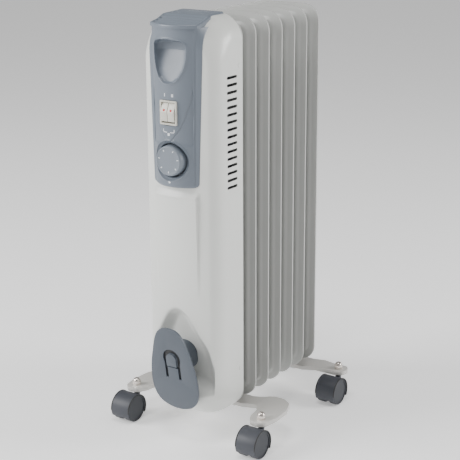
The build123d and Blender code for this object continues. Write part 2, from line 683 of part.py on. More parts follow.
# ---- Cord winder --------------------------------------------------------------------------
HUB_W = 40.0
HUB_H = 46.0
HUB_WALL = 3.0
HUB_REACH = 60.0
with BuildPart() as hub_post:
    with BuildSketch(PLATE_PLANE.offset(-PLATE_THICK)):
        with Locations((0, HUB_DROP)):
            RectangleRounded(HUB_W, HUB_H, HUB_W / 2 - 1)
            RectangleRounded(HUB_W - 2 * HUB_WALL, HUB_H - 2 * HUB_WALL, HUB_W / 2 - 1 - HUB_WALL,
                             mode=Mode.SUBTRACT)
            with GridLocations(HUB_SCREW_PITCH, 1, 2, 1):
                Circle(5)
                Circle(HUB_SCREW_R, mode=Mode.SUBTRACT)
    extrude(amount=-HUB_REACH)
with BuildPart() as cord_hub:
    add(hub_post.part & recess_volume(0))
    # front wall that carries the plate and the catch
    with BuildSketch(PLATE_PLANE.offset(-PLATE_THICK)):
        with Locations((0, HUB_DROP)):
            RectangleRounded(HUB_W, HUB_H, HUB_W / 2 - 1)
    extrude(amount=-3)
    with BuildSketch(PLATE_PLANE.offset(-PLATE_THICK)):
        with BuildLine() as catch_outline:
            Line((-8.6, -28.5), (8.6, -28.5))
            ThreePointArc((8.6, -28.5), (0, -6.5), (-8.6, -28.5))
        make_face(catch_outline.edges())
    extrude(amount=PLATE_THICK + 2)
save(cord_hub, "cord_hub")

# right half of the plate's egg-shaped outline, from its top to its lower edge
PLATE_HALF = [(6.5, 34.2), (14.5, 31.5), (21.5, 25), (27.5, 13), (32, -2), (38, -25), (41.3, -50), (39.5, -74),
              (31, -89), (15, -97.4)]
with BuildPart() as cord_plate:
    with BuildSketch(PLATE_PLANE):
        with BuildLine() as plate_outline:
            Spline(*PLATE_HALF, *[(-x, y) for x, y in reversed(PLATE_HALF)], periodic=True)
        make_face(plate_outline.edges())
        # arch-shaped window for the catch, with two straight legs below it
        with BuildLine() as window:
            Line((-13.8, -48), (-13.8, -22))
            ThreePointArc((-13.8, -22), (0, 0), (13.8, -22))
            Line((13.8, -22), (13.8, -48))
            Line((13.8, -48), (9.3, -48))
            Line((9.3, -48), (9.3, -30))
            Line((9.3, -30), (-9.3, -30))
            Line((-9.3, -30), (-9.3, -48))
            Line((-9.3, -48), (-13.8, -48))
        make_face(window.edges(), mode=Mode.SUBTRACT)
    extrude(amount=-PLATE_THICK)
save(cord_plate, "cord_plate")

with BuildPart() as hub_screws:
    with BuildSketch(HUB_SCREW_PLANE.offset(-CASING_SHEET / 0.98)):
        with GridLocations(HUB_SCREW_PITCH, 1, 2, 1):
            Circle(4)
    extrude(amount=-2.5)
    with BuildSketch(HUB_SCREW_PLANE.offset(-CASING_SHEET / 0.98)):
        with GridLocations(HUB_SCREW_PITCH, 1, 2, 1):
            Circle(HUB_SCREW_R)
    extrude(amount=14)
save(hub_screws, "hub_screws")

with BuildPart() as cable_gland:
    with BuildSketch(GLAND_PLANE.offset(0.1)):
        Circle(GLAND_BODY_R + 2.5)
    extrude(amount=2.5)
    with BuildSketch(GLAND_PLANE.offset(2.6)):
        Circle(GLAND_BODY_R - 1)
    extrude(amount=7, taper=6)
    with BuildSketch(GLAND_PLANE.offset(0.1)):
        Circle(GLAND_BODY_R - 0.1)
    extrude(amount=-9)
    with BuildSketch(GLAND_PLANE.offset(12)):
        Circle(GLAND_BORE_R)
    extrude(amount=-24, mode=Mode.SUBTRACT)
save(cable_gland, "cable_gland")


# ---- Feet ------------------------------------------------------------------------------------
def foot_band(drop, thickness):
    """Side-to-side band that dips under the fins and rises to the caster seats."""
    top = FOOT_TOP_Z - drop
    with BuildPart() as band:
        with BuildSketch(Plane.XZ.offset(-200)):
            with BuildLine() as band_line:
                upper = [(140, top), (82, top), (56, top - FOOT_SAG),
                         (-56, top - FOOT_SAG), (-82, top), (-140, top)]
                lower = [(x, z - thickness) for x, z in reversed(upper)]
                Polyline(*upper, *lower, close=True)
            make_face(band_line.edges())
        extrude(amount=400)
    return band.part


def foot_outline(points, shrink):
    """Plan of a foot: its right half is given, its left half mirrors it."""
    left = [(-x, y) for x, y in reversed(points)]
    with BuildPart() as prism:
        with BuildSketch(Plane.XY.offset(FIN_FOOT_Z - 20)):
            with BuildLine() as outline:
                Polyline(*points, *left, close=True)
            make_face(outline.edges())
            fillet(vertices(), radius=FOOT_CORNER_R)
            if shrink:
                offset(amount=-shrink)
        extrude(amount=40)
    return prism.part


def foot_bracket(points, bolt_y, nut_y):
    """Pressed foot: a dished plate with a turned-down flange all round."""
    solid = foot_band(0, FOOT_FLANGE) & foot_outline(points, 0)
    hollow = foot_band(FOOT_SHEET, 2 * FOOT_FLANGE) & foot_outline(points, FOOT_SHEET)
    with BuildPart() as bracket:
        add(solid)
        add(hollow, mode=Mode.SUBTRACT)
        with BuildSketch(Plane.XY.offset(FIN_FOOT_Z - 20)):
            with Locations((-BOLT_X, bolt_y), (BOLT_X, bolt_y)):
                Circle(BOLT_R + 0.4)
            with Locations((-NUT_X, nut_y), (NUT_X, nut_y)):
                Circle(STEM_R)
        extrude(amount=40, mode=Mode.SUBTRACT)
    return bracket.part


BOLT_R = 3.0
BOLT_X = HEADER_TUBE_R + 0.3 + BOLT_R
FRONT_BOLT_Y = FIN_FIRST_Y + FIN_PITCH / 2
REAR_BOLT_Y = FIN_LAST_Y - FIN_PITCH / 2
# right halves, from the middle of the rear edge round to the middle of the front edge
FRONT_FOOT = [(76, -20), (90, -12), (106, -12), (122, -22), (131, -45), (133, -75), (129, -100),
              (118, -108), (104, -105), (96, -90), (92, -66), (82, -52)]
REAR_FOOT = [(55, 161), (100, 152.5), (124, 152.5), (131, 142), (129, 129), (116, 123), (60, 123)]

with BuildPart() as front_foot_bracket:
    add(foot_bracket(FRONT_FOOT, FRONT_BOLT_Y, NUT_FRONT_Y))
save(front_foot_bracket, "front_foot_bracket")

with BuildPart() as rear_foot_bracket:
    add(foot_bracket(REAR_FOOT, REAR_BOLT_Y, NUT_REAR_Y))
save(rear_foot_bracket, "rear_foot_bracket")

FOOT_LOW_TOP_Z = FOOT_TOP_Z - FOOT_SAG
BOLT_END_Z = FOOT_LOW_TOP_Z - FOOT_SHEET - 10
for bolt_name, bolt_y in (("front", FRONT_BOLT_Y), ("rear", REAR_BOLT_Y)):
    with BuildPart() as u_bolt:
        with BuildLine() as bolt_path:
            Line((-BOLT_X, bolt_y, BOLT_END_Z), (-BOLT_X, bolt_y, LOWER_HEADER_Z))
            ThreePointArc((-BOLT_X, bolt_y, LOWER_HEADER_Z), (0, bolt_y, LOWER_HEADER_Z + BOLT_X),
                          (BOLT_X, bolt_y, LOWER_HEADER_Z))
            Line((BOLT_X, bolt_y, LOWER_HEADER_Z), (BOLT_X, bolt_y, BOLT_END_Z))
        with BuildSketch(Plane.XY.offset(BOLT_END_Z)):
            with Locations((-BOLT_X, bolt_y)):
                Circle(BOLT_R)
        sweep(path=bolt_path.line)
    save(u_bolt, f"{bolt_name}_u_bolt")

with BuildPart() as wing_nuts:
    with BuildSketch(Plane.XY.offset(FOOT_LOW_TOP_Z - FOOT_SHEET)):
        for bolt_y in (FRONT_BOLT_Y, REAR_BOLT_Y):
            with Locations((-BOLT_X, bolt_y), (BOLT_X, bolt_y)):
                Circle(5.5)
    extrude(amount=-6)
    with BuildSketch(Plane.XY.offset(FOOT_LOW_TOP_Z - FOOT_SHEET - 2)):
        for bolt_y in (FRONT_BOLT_Y, REAR_BOLT_Y):
            with Locations((-BOLT_X, bolt_y), (BOLT_X, bolt_y)):
                Rectangle(22, 2)
    extrude(amount=-9)
    with BuildSketch(Plane.XY.offset(FOOT_LOW_TOP_Z)):
        for bolt_y in (FRONT_BOLT_Y, REAR_BOLT_Y):
            with Locations((-BOLT_X, bolt_y), (BOLT_X, bolt_y)):
                Circle(BOLT_R)
    extrude(amount=-30, mode=Mode.SUBTRACT)
save(wing_nuts, "wing_nuts")

# ---- Casters -----------------------------------------------------------------------------------
CORNERS = {
    "front_left": (-NUT_X, NUT_FRONT_Y),
    "front_right": (NUT_X, NUT_FRONT_Y),
    "rear_left": (-NUT_X, NUT_REAR_Y),
    "rear_right": (NUT_X, NUT_REAR_Y),
}
STEM_SPOTS = list(CORNERS.values())
FOOT_UNDER_Z = FOOT_TOP_Z - FOOT_SHEET
WASHER = 1.2
STEM_LOW_Z = FIN_FOOT_Z - 19.0
SOCKET_TOP_Z = FOOT_UNDER_Z - WASHER - 0.3

with BuildPart() as caster_stems:
    with BuildSketch(Plane.XY.offset(STEM_LOW_Z)):
        with Locations(*STEM_SPOTS):
            Circle(STEM_R)
    extrude(amount=FOOT_TOP_Z + 8 - STEM_LOW_Z)
save(caster_stems, "caster_stems")

with BuildPart() as stem_washers:
    with BuildSketch(Plane.XY.offset(FOOT_UNDER_Z - WASHER)):
        with Locations(*STEM_SPOTS):
            Circle(7.5)
            Circle(STEM_R, mode=Mode.SUBTRACT)
    extrude(amount=WASHER)
save(stem_washers, "stem_washers")

with BuildPart() as dome_nuts:
    with BuildSketch(Plane.XY.offset(FOOT_TOP_Z)):
        for spot in STEM_SPOTS:
            with Locations(spot):
                RegularPolygon(5.8, 6)
    extrude(amount=5)
    for spot_x, spot_y in STEM_SPOTS:
        with Locations((spot_x, spot_y, FOOT_TOP_Z + 5)):
            Sphere(4.9, arc_size1=0, align=(Align.CENTER, Align.CENTER, Align.MIN))
    with BuildSketch(Plane.XY.offset(FOOT_TOP_Z)):
        with Locations(*STEM_SPOTS):
            Circle(STEM_R)
    extrude(amount=8, mode=Mode.SUBTRACT)
save(dome_nuts, "dome_nuts")

HOOD_REAR_DEG = -19.0      # the hood starts below the axle on the stem's side
HOOD_FRONT_DEG = 208.0     # and ends low down on the trailing side
HOOD_WALL = 1.1
WEB_HALF_W = 4.4
SOCKET_R = 4.7
AXLE_HALF = 12.5
for corner, (stem_x, stem_y) in CORNERS.items():
    axle_y = stem_y - CASTER_TRAIL
    with BuildPart() as hood:
        # curved cover over both wheels
        with BuildSketch(side_on(stem_x - HOOD_HALF_W, axle_y, WHEEL_R)):
            Circle(HOOD_R)
            Circle(HOOD_R - HOOD_WALL, mode=Mode.SUBTRACT)
            with BuildLine() as open_sector:
                far = 40
                Polyline((0, 0), (far * cos(radians(HOOD_FRONT_DEG)), far * sin(radians(HOOD_FRONT_DEG))),
                         (0, -2 * far),
                         (far * cos(radians(HOOD_REAR_DEG)), far * sin(radians(HOOD_REAR_DEG))), close=True)
            make_face(open_sector.edges(), mode=Mode.SUBTRACT)
        extrude(amount=2 * HOOD_HALF_W)
        # middle web that holds the axle
        with BuildSketch(side_on(stem_x - WEB_HALF_W, axle_y, WHEEL_R)):
            Circle(HOOD_R - 0.3)
            with Locations((0, -HOOD_R)):
                Rectangle(3 * HOOD_R, HOOD_R, mode=Mode.SUBTRACT)
        extrude(amount=2 * WEB_HALF_W)
        with BuildSketch(side_on(stem_x - WEB_HALF_W, axle_y, WHEEL_R)):
            Circle(AXLE_R)
        extrude(amount=2 * WEB_HALF_W, mode=Mode.SUBTRACT)
        # stem socket
        with BuildSketch(Plane.XY.offset(SOCKET_TOP_Z)):
            with Locations((stem_x, stem_y)):
                Circle(SOCKET_R)
        extrude(amount=STEM_LOW_Z - 3 - SOCKET_TOP_Z)
        with BuildSketch(Plane.XY.offset(SOCKET_TOP_Z)):
            with Locations((stem_x, stem_y)):
                Circle(STEM_R + 0.05)
        extrude(amount=STEM_LOW_Z - 0.4 - SOCKET_TOP_Z, mode=Mode.SUBTRACT)
    save(hood, f"caster_hood_{corner}")

    with BuildPart() as axle:
        with BuildSketch(side_on(stem_x - AXLE_HALF, axle_y, WHEEL_R)):
            Circle(AXLE_R)
        extrude(amount=2 * AXLE_HALF)
    save(axle, f"caster_axle_{corner}")

    for wheel_name, side in (("left", -1), ("right", 1)):
        inner_x = stem_x + side * (WEB_HALF_W + 0.5)
        with BuildPart() as wheel:
            with BuildSketch(side_on(inner_x, axle_y, WHEEL_R)):
                Circle(WHEEL_R)
            extrude(amount=side * WHEEL_W)
            fillet(edges().filter_by(GeomType.CIRCLE).group_by(SortBy.RADIUS)[-1], radius=1.5)
            # dished outer face
            with BuildSketch(side_on(inner_x + side * (WHEEL_W - 0.8), axle_y, WHEEL_R)):
                Circle(WHEEL_R - 3)
            extrude(amount=side * 2, mode=Mode.SUBTRACT)
            # hollow inner face with a hub
            with BuildSketch(side_on(inner_x, axle_y, WHEEL_R)):
                Circle(WHEEL_R - 3)
                Circle(6, mode=Mode.SUBTRACT)
            extrude(amount=side * (WHEEL_W - 4), mode=Mode.SUBTRACT)
            with BuildSketch(side_on(inner_x, axle_y, WHEEL_R)):
                Circle(AXLE_R + 0.05)
            extrude(amount=side * (WHEEL_W - 2), mode=Mode.SUBTRACT)
        save(wheel, f"wheel_{corner}_{wheel_name}")
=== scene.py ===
# %% [markdown]
# # An oil filled radiator heater, finished in Blender
#
# The engineering model of the heater is loaded first. It is the frame: every
# size and place below is read from it, and nothing in it is moved. Around it
# this lesson builds the pressed steel, the mouldings and their finishes.

# %% Load the frame and keep its box
import json
import math
from contextlib import contextmanager

import bpy
import bmesh
import numpy as np
from mathutils import Matrix, Vector


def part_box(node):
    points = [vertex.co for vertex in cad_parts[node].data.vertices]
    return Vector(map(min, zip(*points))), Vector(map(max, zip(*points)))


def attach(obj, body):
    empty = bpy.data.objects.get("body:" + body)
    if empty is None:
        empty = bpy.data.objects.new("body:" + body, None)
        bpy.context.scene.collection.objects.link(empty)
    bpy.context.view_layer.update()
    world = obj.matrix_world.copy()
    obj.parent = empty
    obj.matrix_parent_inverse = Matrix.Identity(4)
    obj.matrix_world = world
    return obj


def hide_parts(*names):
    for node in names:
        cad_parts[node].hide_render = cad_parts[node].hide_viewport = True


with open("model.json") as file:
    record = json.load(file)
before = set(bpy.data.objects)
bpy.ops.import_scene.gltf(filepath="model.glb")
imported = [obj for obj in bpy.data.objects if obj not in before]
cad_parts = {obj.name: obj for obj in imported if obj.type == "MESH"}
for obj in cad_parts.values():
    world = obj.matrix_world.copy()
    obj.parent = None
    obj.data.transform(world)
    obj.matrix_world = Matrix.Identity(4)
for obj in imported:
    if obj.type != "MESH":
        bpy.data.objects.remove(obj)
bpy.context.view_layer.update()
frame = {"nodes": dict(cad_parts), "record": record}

# %% [markdown]
# ## Working in millimetres
#
# The heater's shapes are easiest to think about in millimetres, while Blender
# and the frame count in metres. These few helpers read a node's box in
# millimetres and take a mesh's points out of Blender and put them back. A plain
# sheet is still one unit wide when it is read, so it is read in Blender's units.

# %% Helpers for boxes and points
MM = 0.001
HEATER = "heater"


def box_mm(node):
    low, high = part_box(node)
    return np.array(low) / MM, np.array(high) / MM


def unit_points(piece):
    """The points of a mesh in Blender's own units."""
    flat = np.empty(3 * len(piece.data.vertices))
    piece.data.vertices.foreach_get("co", flat)
    return flat.reshape(-1, 3)


def points_mm(piece):
    return unit_points(piece) / MM


def move_unit_points(piece, points):
    piece.data.vertices.foreach_set("co", points.ravel())
    piece.data.update()


def move_points(piece, points):
    """Moves all points of a mesh to places in millimetres."""
    move_unit_points(piece, points * MM)


FOOT = box_mm("fin_1")[0][2]
print("the fins start", round(FOOT, 1), "mm above the floor")

# %% [markdown]
# ## One piece at a time
#
# An operator acts on everything that is selected, and the loaded nodes start
# out selected. So each step takes just the piece it works on, and goes in and
# out of edit mode in one place. At the end a piece rides on the body it moves
# with, and the nodes of the frame it stands for are hidden.

# %% Helpers for selecting, editing and placing
def deselect_all():
    bpy.ops.object.select_all(action="DESELECT")


def take(piece):
    deselect_all()
    piece.select_set(True)
    bpy.context.view_layer.objects.active = piece


def take_all(pieces):
    deselect_all()
    for piece in pieces:
        piece.select_set(True)
    bpy.context.view_layer.objects.active = pieces[0]


@contextmanager
def editing(piece, action="SELECT"):
    """Edit mode for one piece, with all of it selected or nothing."""
    take(piece)
    bpy.ops.object.mode_set(mode="EDIT")
    bpy.ops.mesh.select_all(action=action)
    yield
    bpy.ops.mesh.select_mode(type="VERT")
    bpy.ops.object.mode_set(mode="OBJECT")


def named(name):
    piece = bpy.context.object
    piece.name = name
    piece.data.name = name
    return piece


def copied(piece, name):
    """A free copy of a piece, with its own mesh."""
    twin = piece.copy()
    twin.data = piece.data.copy()
    twin.name = twin.data.name = name
    twin.parent = None
    bpy.context.collection.objects.link(twin)
    return twin


def smooth(piece, degrees=40):
    take(piece)
    bpy.ops.object.shade_smooth_by_angle(angle=math.radians(degrees))


def place(piece, body, slot_name, *nodes):
    """The piece rides on a body and hides the CAD nodes it stands for; the slot name is not used.
    """
    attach(piece, body)
    if nodes:
        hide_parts(*nodes)
    print(piece.name, "has", len(piece.data.polygons), "faces")


# %% [markdown]
# ## Smooth blends
#
# Pressed steel has no sharp corners, so its shapes are mixed with soft
# minimums and maximums in place of hard ones. A smooth step makes a bevel that
# eases in and out, and a rounded-box distance says how deep inside a rounded
# rectangle a point lies.

# %% Helpers for soft shapes
def ease(value, start, end):
    """0 before start, 1 after end, and a soft ramp between them."""
    t = np.clip((value - start) / (end - start), 0, 1)
    return t * t * (3 - 2 * t)


def soft_max(a, b, width):
    gap = np.clip(0.5 + 0.5 * (a - b) / width, 0, 1)
    return b + (a - b) * gap + width * gap * (1 - gap)


def soft_min(a, b, width):
    return -soft_max(-a, -b, width)


def box_depth(x, z, half_w, half_h, corner):
    """How far a point is inside a rounded rectangle; negative outside."""
    dx = np.abs(x) - (half_w - corner)
    dz = np.abs(z) - (half_h - corner)
    outside = np.hypot(np.maximum(dx, 0), np.maximum(dz, 0))
    return corner - outside - np.minimum(np.maximum(dx, dz), 0)


def outline_depth(x, z, outline):
    """How far a point is inside a closed outline; negative outside."""
    best = np.full(x.shape, 1e9)
    inside = np.zeros(x.shape, bool)
    for (ax, az), (bx, bz) in zip(outline, np.roll(outline, -1, axis=0)):
        along = np.clip(((x - ax) * (bx - ax) + (z - az) * (bz - az))
                        / ((bx - ax) ** 2 + (bz - az) ** 2), 0, 1)
        away = np.hypot(x - ax - along * (bx - ax), z - az - along * (bz - az))
        best = np.minimum(best, away)
        if az != bz:
            crossing = (az > z) != (bz > z)
            inside ^= crossing & (x < ax + (z - az) / (bz - az) * (bx - ax))
    return np.where(inside, best, -best)


def rounded(outline, passes):
    """Corner cutting turns a few given points into a smooth closed outline."""
    points = np.array(outline, float)
    for _ in range(passes):
        after = np.roll(points, -1, axis=0)
        near, far = 0.75 * points + 0.25 * after, 0.25 * points + 0.75 * after
        points = np.stack([near, far], 1).reshape(-1, 2)
    return points


def both_sides(right):
    """The right half of an outline, followed by its mirror image."""
    return [*right, *[(-x, z) for x, z in reversed(right)]]


print("half way up a soft step:", ease(np.array([0.5]), 0, 1)[0])

# %% [markdown]
# ## A sheet that faces the front
#
# The casing, the panel and the fins are all pressed or moulded skins that face
# the front. Each starts as a grid primitive stood upright, and its open edge
# can be extruded backwards in steps to make the sides. Modifiers then give it a
# wall, round its edges or cut a hole in it.

# %% Helpers for upright sheets
def front_sheet(name, across, up):
    """An upright grid one unit wide and high, facing -Y."""
    deselect_all()
    bpy.ops.mesh.primitive_grid_add(x_subdivisions=across, y_subdivisions=up, size=1)
    piece = named(name)
    flat = unit_points(piece)
    move_unit_points(piece, np.stack([flat[:, 0], -flat[:, 2], flat[:, 1]], 1))
    return piece


def pull_rim(piece, steps, step):
    """Extrudes the open edge of a sheet in equal steps, as the sides of a tray."""
    with editing(piece, "DESELECT"):
        bpy.ops.mesh.select_mode(type="EDGE")
        bpy.ops.mesh.select_non_manifold()
        for _ in range(steps):
            bpy.ops.mesh.extrude_region_move(TRANSFORM_OT_translate={"value": step})


def slab(piece, thickness):
    """Pulls a flat plate back into a closed slab whose faces point outwards."""
    with editing(piece):
        bpy.ops.mesh.extrude_region_move(TRANSFORM_OT_translate={"value": (0, thickness * MM, 0)})
    with editing(piece):
        bpy.ops.mesh.normals_make_consistent(inside=False)


def thicken(piece, thickness):
    """Gives a sheet its wall, inwards from the face that is there."""
    take(piece)
    wall = piece.modifiers.new("wall", "SOLIDIFY")
    wall.thickness = thickness * MM
    wall.offset = -1
    bpy.ops.object.modifier_apply(modifier=wall.name)


def round_edges(piece, radius, degrees):
    """Bevels the edges that are sharper than an angle."""
    take(piece)
    edge = piece.modifiers.new("edge", "BEVEL")
    edge.width = radius * MM
    edge.segments = 3
    edge.limit_method = "ANGLE"
    edge.angle_limit = math.radians(degrees)
    bpy.ops.object.modifier_apply(modifier=edge.name)


def cut_away(piece, cutter):
    """Takes one closed shape out of another and throws the cutter away."""
    take(piece)
    cut = piece.modifiers.new("cut", "BOOLEAN")
    cut.operation = "DIFFERENCE"
    cut.solver = "EXACT"
    cut.object = cutter
    bpy.ops.object.modifier_apply(modifier=cut.name)
    bpy.data.objects.remove(cutter, do_unlink=True)


# %% [markdown]
# ## Writing materials as sums
#
# A material is a small sum over its node tree: noise times a strength, plus a
# base value. One class wraps a socket, so that such sums are written as plain
# Python, and one method adds any other node.

# %% The socket class
class Wire:
    """An output socket whose sums and products add Math nodes."""

    def __init__(self, tree, socket=None):
        self.tree = tree
        self.socket = socket

    def node(self, kind, settings=(), inputs=(), out=0):
        made = self.tree.nodes.new(kind)
        for key, value in dict(settings).items():
            setattr(made, key, value)
        for key, value in dict(inputs).items():
            if isinstance(value, Wire):
                self.tree.links.new(value.socket, made.inputs[key])
            else:
                made.inputs[key].default_value = value
        return Wire(self.tree, made.outputs[out])

    def math(self, operation, first, second):
        return self.node("ShaderNodeMath", {"operation": operation}, {0: first, 1: second})

    def __add__(self, other):
        return self.math("ADD", self, other)

    def __radd__(self, other):
        return self.math("ADD", other, self)

    def __mul__(self, other):
        return self.math("MULTIPLY", self, other)

    def __rmul__(self, other):
        return self.math("MULTIPLY", other, self)


def new_material(name):
    """A material with only a Principled shader, and the place on the piece as a Wire."""
    made = bpy.data.materials.new(name)
    made.use_nodes = True
    shader = made.node_tree.nodes["Principled BSDF"]
    where = Wire(made.node_tree).node("ShaderNodeTexCoord", out="Object")
    return made, shader, where


def grain(where, scale, detail=2.0, stretch=(1, 1, 1)):
    """Noise from 0 to 1 whose grains are 1/scale metres across."""
    at = where.node("ShaderNodeMapping", inputs={"Vector": where, "Scale": stretch})
    return where.node("ShaderNodeTexNoise",
                      inputs={"Vector": at, "Scale": scale, "Detail": detail})


def tint(where, amount, first, second):
    """A colour between two colours."""
    return where.node("ShaderNodeMix", {"data_type": "RGBA"},
                      {0: amount, 6: (*first, 1), 7: (*second, 1)}, out=2)


def raised(where, height, strength, distance):
    """A bump of a given height in metres."""
    return where.node("ShaderNodeBump", inputs={"Height": height, "Strength": strength,
                                                "Distance": distance})


def feed(shader, **sockets):
    """Sets constants on the shader and links wires to it."""
    for name, value in sockets.items():
        socket = shader.inputs[name.replace("_", " ")]
        if isinstance(value, Wire):
            value.tree.links.new(value.socket, socket)
        else:
            socket.default_value = value


# %% [markdown]
# ## Stove enamel
#
# The fins, the casing and the feet are steel with a baked ivory enamel. Up
# close it has the faint waviness of sprayed paint, called orange peel, and over
# a hand's width its tone and gloss drift a little. Three noises of different
# sizes say that: a wide one for tone, a middle one for gloss and a fine one for
# the bump. The fins and the feet get darker copies of the ivory as painted
# shade: between the fins, and low down by the floor.

# %% Enamel
def enamel(name, colour, shade, rough):
    made, shader, where = new_material(name)
    wide = grain(where, 9, 3)
    middle = grain(where, 60, 2)
    peel = grain(where, 420, 2)
    speck = grain(where, 1500, 1)
    feed(shader,
         Base_Color=tint(where, wide, colour, shade),
         Roughness=rough + 0.10 * middle,
         Coat_Weight=0.25,
         Coat_Roughness=0.18,
         Normal=raised(where, peel * 0.8 + speck * 0.2, 0.22, 0.00012))
    return made


casing_enamel = enamel("casing enamel", (0.74, 0.75, 0.72), (0.71, 0.72, 0.69), 0.30)
# The fins' enamel is the casing's ivory, made darker as painted shade between the fins.
fin_enamel = enamel("shaded fin enamel", (0.50, 0.505, 0.49), (0.47, 0.475, 0.46), 0.36)
# The feet's enamel is the same ivory, made darker as painted shade low down by the floor.
shaded_foot_enamel = enamel("shaded foot enamel", (0.60, 0.585, 0.555), (0.57, 0.555, 0.53), 0.32)


# %% [markdown]
# ## Moulded plastic
#
# The panel, the dial and the cord winder are blue-grey mouldings. A mould is
# spark eroded, which leaves a very fine even grain, and the plastic's tone
# shifts slightly where it flowed. The grain is a fine noise for the bump, and
# the same noise breaks up the gloss.

# %% Plastics
def moulding(name, colour, rough, grain_size=1400.0, strength=0.25, flow=0.06):
    made, shader, where = new_material(name)
    lighter = [c * (1 + flow) for c in colour]
    darker = [c * (1 - flow) for c in colour]
    texture = grain(where, grain_size, 2)
    marks = grain(where, 25, 4, (1, 1, 0.35))
    feed(shader,
         Base_Color=tint(where, marks, darker, lighter),
         Roughness=rough + 0.12 * texture + 0.06 * marks,
         Normal=raised(where, texture, strength, 0.00010))
    return made


panel_plastic = moulding("panel plastic", (0.160, 0.186, 0.222), 0.30)
dial_plastic = moulding("dial plastic", (0.185, 0.212, 0.248), 0.40, 900.0, 0.45)
winder_plastic = moulding("cord winder plastic", (0.076, 0.091, 0.113), 0.36)
ivory_plastic = moulding("ivory switch plastic", (0.63, 0.61, 0.54), 0.26, 2000.0, 0.08, 0.03)
lens_plastic = moulding("red lens plastic", (0.62, 0.05, 0.05), 0.14, 2000.0, 0.05)
black_plastic = moulding("black plastic", (0.022, 0.023, 0.026), 0.40)
hood_plastic = moulding("caster hood plastic", (0.050, 0.054, 0.066), 0.42, 1100.0, 0.35)
wheel_plastic = moulding("caster wheel plastic", (0.020, 0.023, 0.031), 0.36)
gasket_rubber = moulding("gasket rubber", (0.02, 0.02, 0.02), 0.7)
print_white = moulding("white print", (0.82, 0.84, 0.86), 0.45, 1800.0, 0.05, 0.02)


# %% [markdown]
# ## Bare metals
#
# Nuts, screws and stems are bright zinc. Plating is a mirror that has been
# scuffed, so its gloss varies in fine streaks, and its colour leans slightly
# yellow and blue from the passivation.

# %% Metals
def bright_metal(name, colour, second, rough, stretch=(1, 1, 1)):
    made, shader, where = new_material(name)
    streaks = grain(where, 500, 3, stretch)
    cloud = grain(where, 120, 2)
    feed(shader,
         Base_Color=tint(where, cloud, colour, second),
         Metallic=1.0,
         Roughness=rough + 0.22 * streaks,
         Normal=raised(where, streaks, 0.12, 0.00008))
    return made


zinc = bright_metal("bright zinc", (0.72, 0.71, 0.68), (0.62, 0.64, 0.68), 0.16)
warm_nickel = bright_metal("warm nickel", (0.80, 0.72, 0.66), (0.70, 0.66, 0.62), 0.14)
element_steel = bright_metal("element sheath", (0.40, 0.36, 0.32), (0.30, 0.28, 0.27), 0.35,
                             (1, 0.1, 1))
shield_sheet = bright_metal("shield sheet", (0.78, 0.78, 0.79), (0.70, 0.70, 0.72), 0.28,
                            (1, 1, 0.08))
print(len(bpy.data.materials), "materials so far")

# %% [markdown]
# ## Painting the engineered parts
#
# Every node names the slot it takes its finish from. Nodes that stay as they
# are get their finish here, and those inside the heater get theirs too, since a
# reader may open it.

# %% A finish for each slot
SLOT_FINISH = {
    "fin_enamel": fin_enamel,
    "casing_enamel": casing_enamel,
    "panel_plastic": panel_plastic,
    "dial_plastic": dial_plastic,
    "cord_winder_plastic": winder_plastic,
    "switch_plastic": ivory_plastic,
    "lens_plastic": lens_plastic,
    "black_plastic": black_plastic,
    "zinc_steel": zinc,
    "element_steel": element_steel,
    "gasket_rubber": gasket_rubber,
    "shield_aluminium": shield_sheet,
    "caster_hood_plastic": hood_plastic,
    "wheel_plastic": wheel_plastic,
}
for part in frame["record"]["subparts"]:
    finish = SLOT_FINISH[part["material_slot"]]
    for holder in frame["nodes"][part["node"]].material_slots:
        holder.material = finish


def paint(piece, finish):
    piece.data.materials.clear()
    piece.data.materials.append(finish)


# %% [markdown]
# ## The casing's body
#
# The casing is one deep pressing: flat sides that roll into a bulged front, with
# a larger roll at the top and bottom. A box would need many bevels of different
# radii that meet in the corners. Here a tray of quads is laid out instead, and
# every point slides onto the rounded form until it sits exactly on it.

# %% The rounded form of the casing
casing_low, casing_high = box_mm("casing")
HALF_W = casing_high[0]
CASING_MIDDLE_Z = (casing_low[2] + casing_high[2]) / 2
CASING_HALF_H = (casing_high[2] - casing_low[2]) / 2
PAD_RISE = 2.6
FRONT_Y = casing_low[1] + PAD_RISE
BACK_Y = casing_high[1]
BULGE_R = 143.0
CORNER_R = 37.5
SHOULDER_R = 42.0
SIDE_R = 15.0
FILLET_GROWS = 25.0


def round_meet(a, b, radius):
    """Two surfaces meeting in a fillet of the given radius."""
    past_a = np.maximum(radius + a, 0)
    past_b = np.maximum(radius + b, 0)
    return np.minimum(np.maximum(a, b), -radius) + np.hypot(past_a, past_b)


def casing_distance(p):
    """Distance outside the closed body of the casing."""
    x, y, z = p.T
    side = np.abs(x) - HALF_W
    end = np.abs(z - CASING_MIDDLE_Z) - CASING_HALF_H
    outline = round_meet(side, end, CORNER_R)
    front = np.hypot(x, y - FRONT_Y - BULGE_R) - BULGE_R
    near_end = ease(end, -CORNER_R - FILLET_GROWS, -CORNER_R + FILLET_GROWS)
    radius = SIDE_R + (SHOULDER_R - SIDE_R) * near_end
    return round_meet(front, outline, radius)


def settle(points, distance):
    """Slides points along the slope of a distance until they lie on its surface."""
    rounds, reach, least_slope = 12, 0.05, 0.05
    for _ in range(rounds):
        value = distance(points)
        slope = np.stack([(distance(points + step) - distance(points - step)) / (2 * reach)
                          for step in np.eye(3) * reach], 1)
        size = np.maximum((slope ** 2).sum(1), least_slope)
        points = points - slope * (value / size)[:, None]
    return points


print("the casing is", round(2 * HALF_W), "mm wide and", round(2 * CASING_HALF_H), "mm high")

# %% [markdown]
# ## What is pressed into the front
#
# Two features break the casing's front. A shallow pad runs down from under the
# panel and fades out, and near the floor there is an arched hollow for the wound
# cord, whose walls slope at about 45 degrees and whose floor leans back. Both
# are written as how far the front moves along Y at each place.

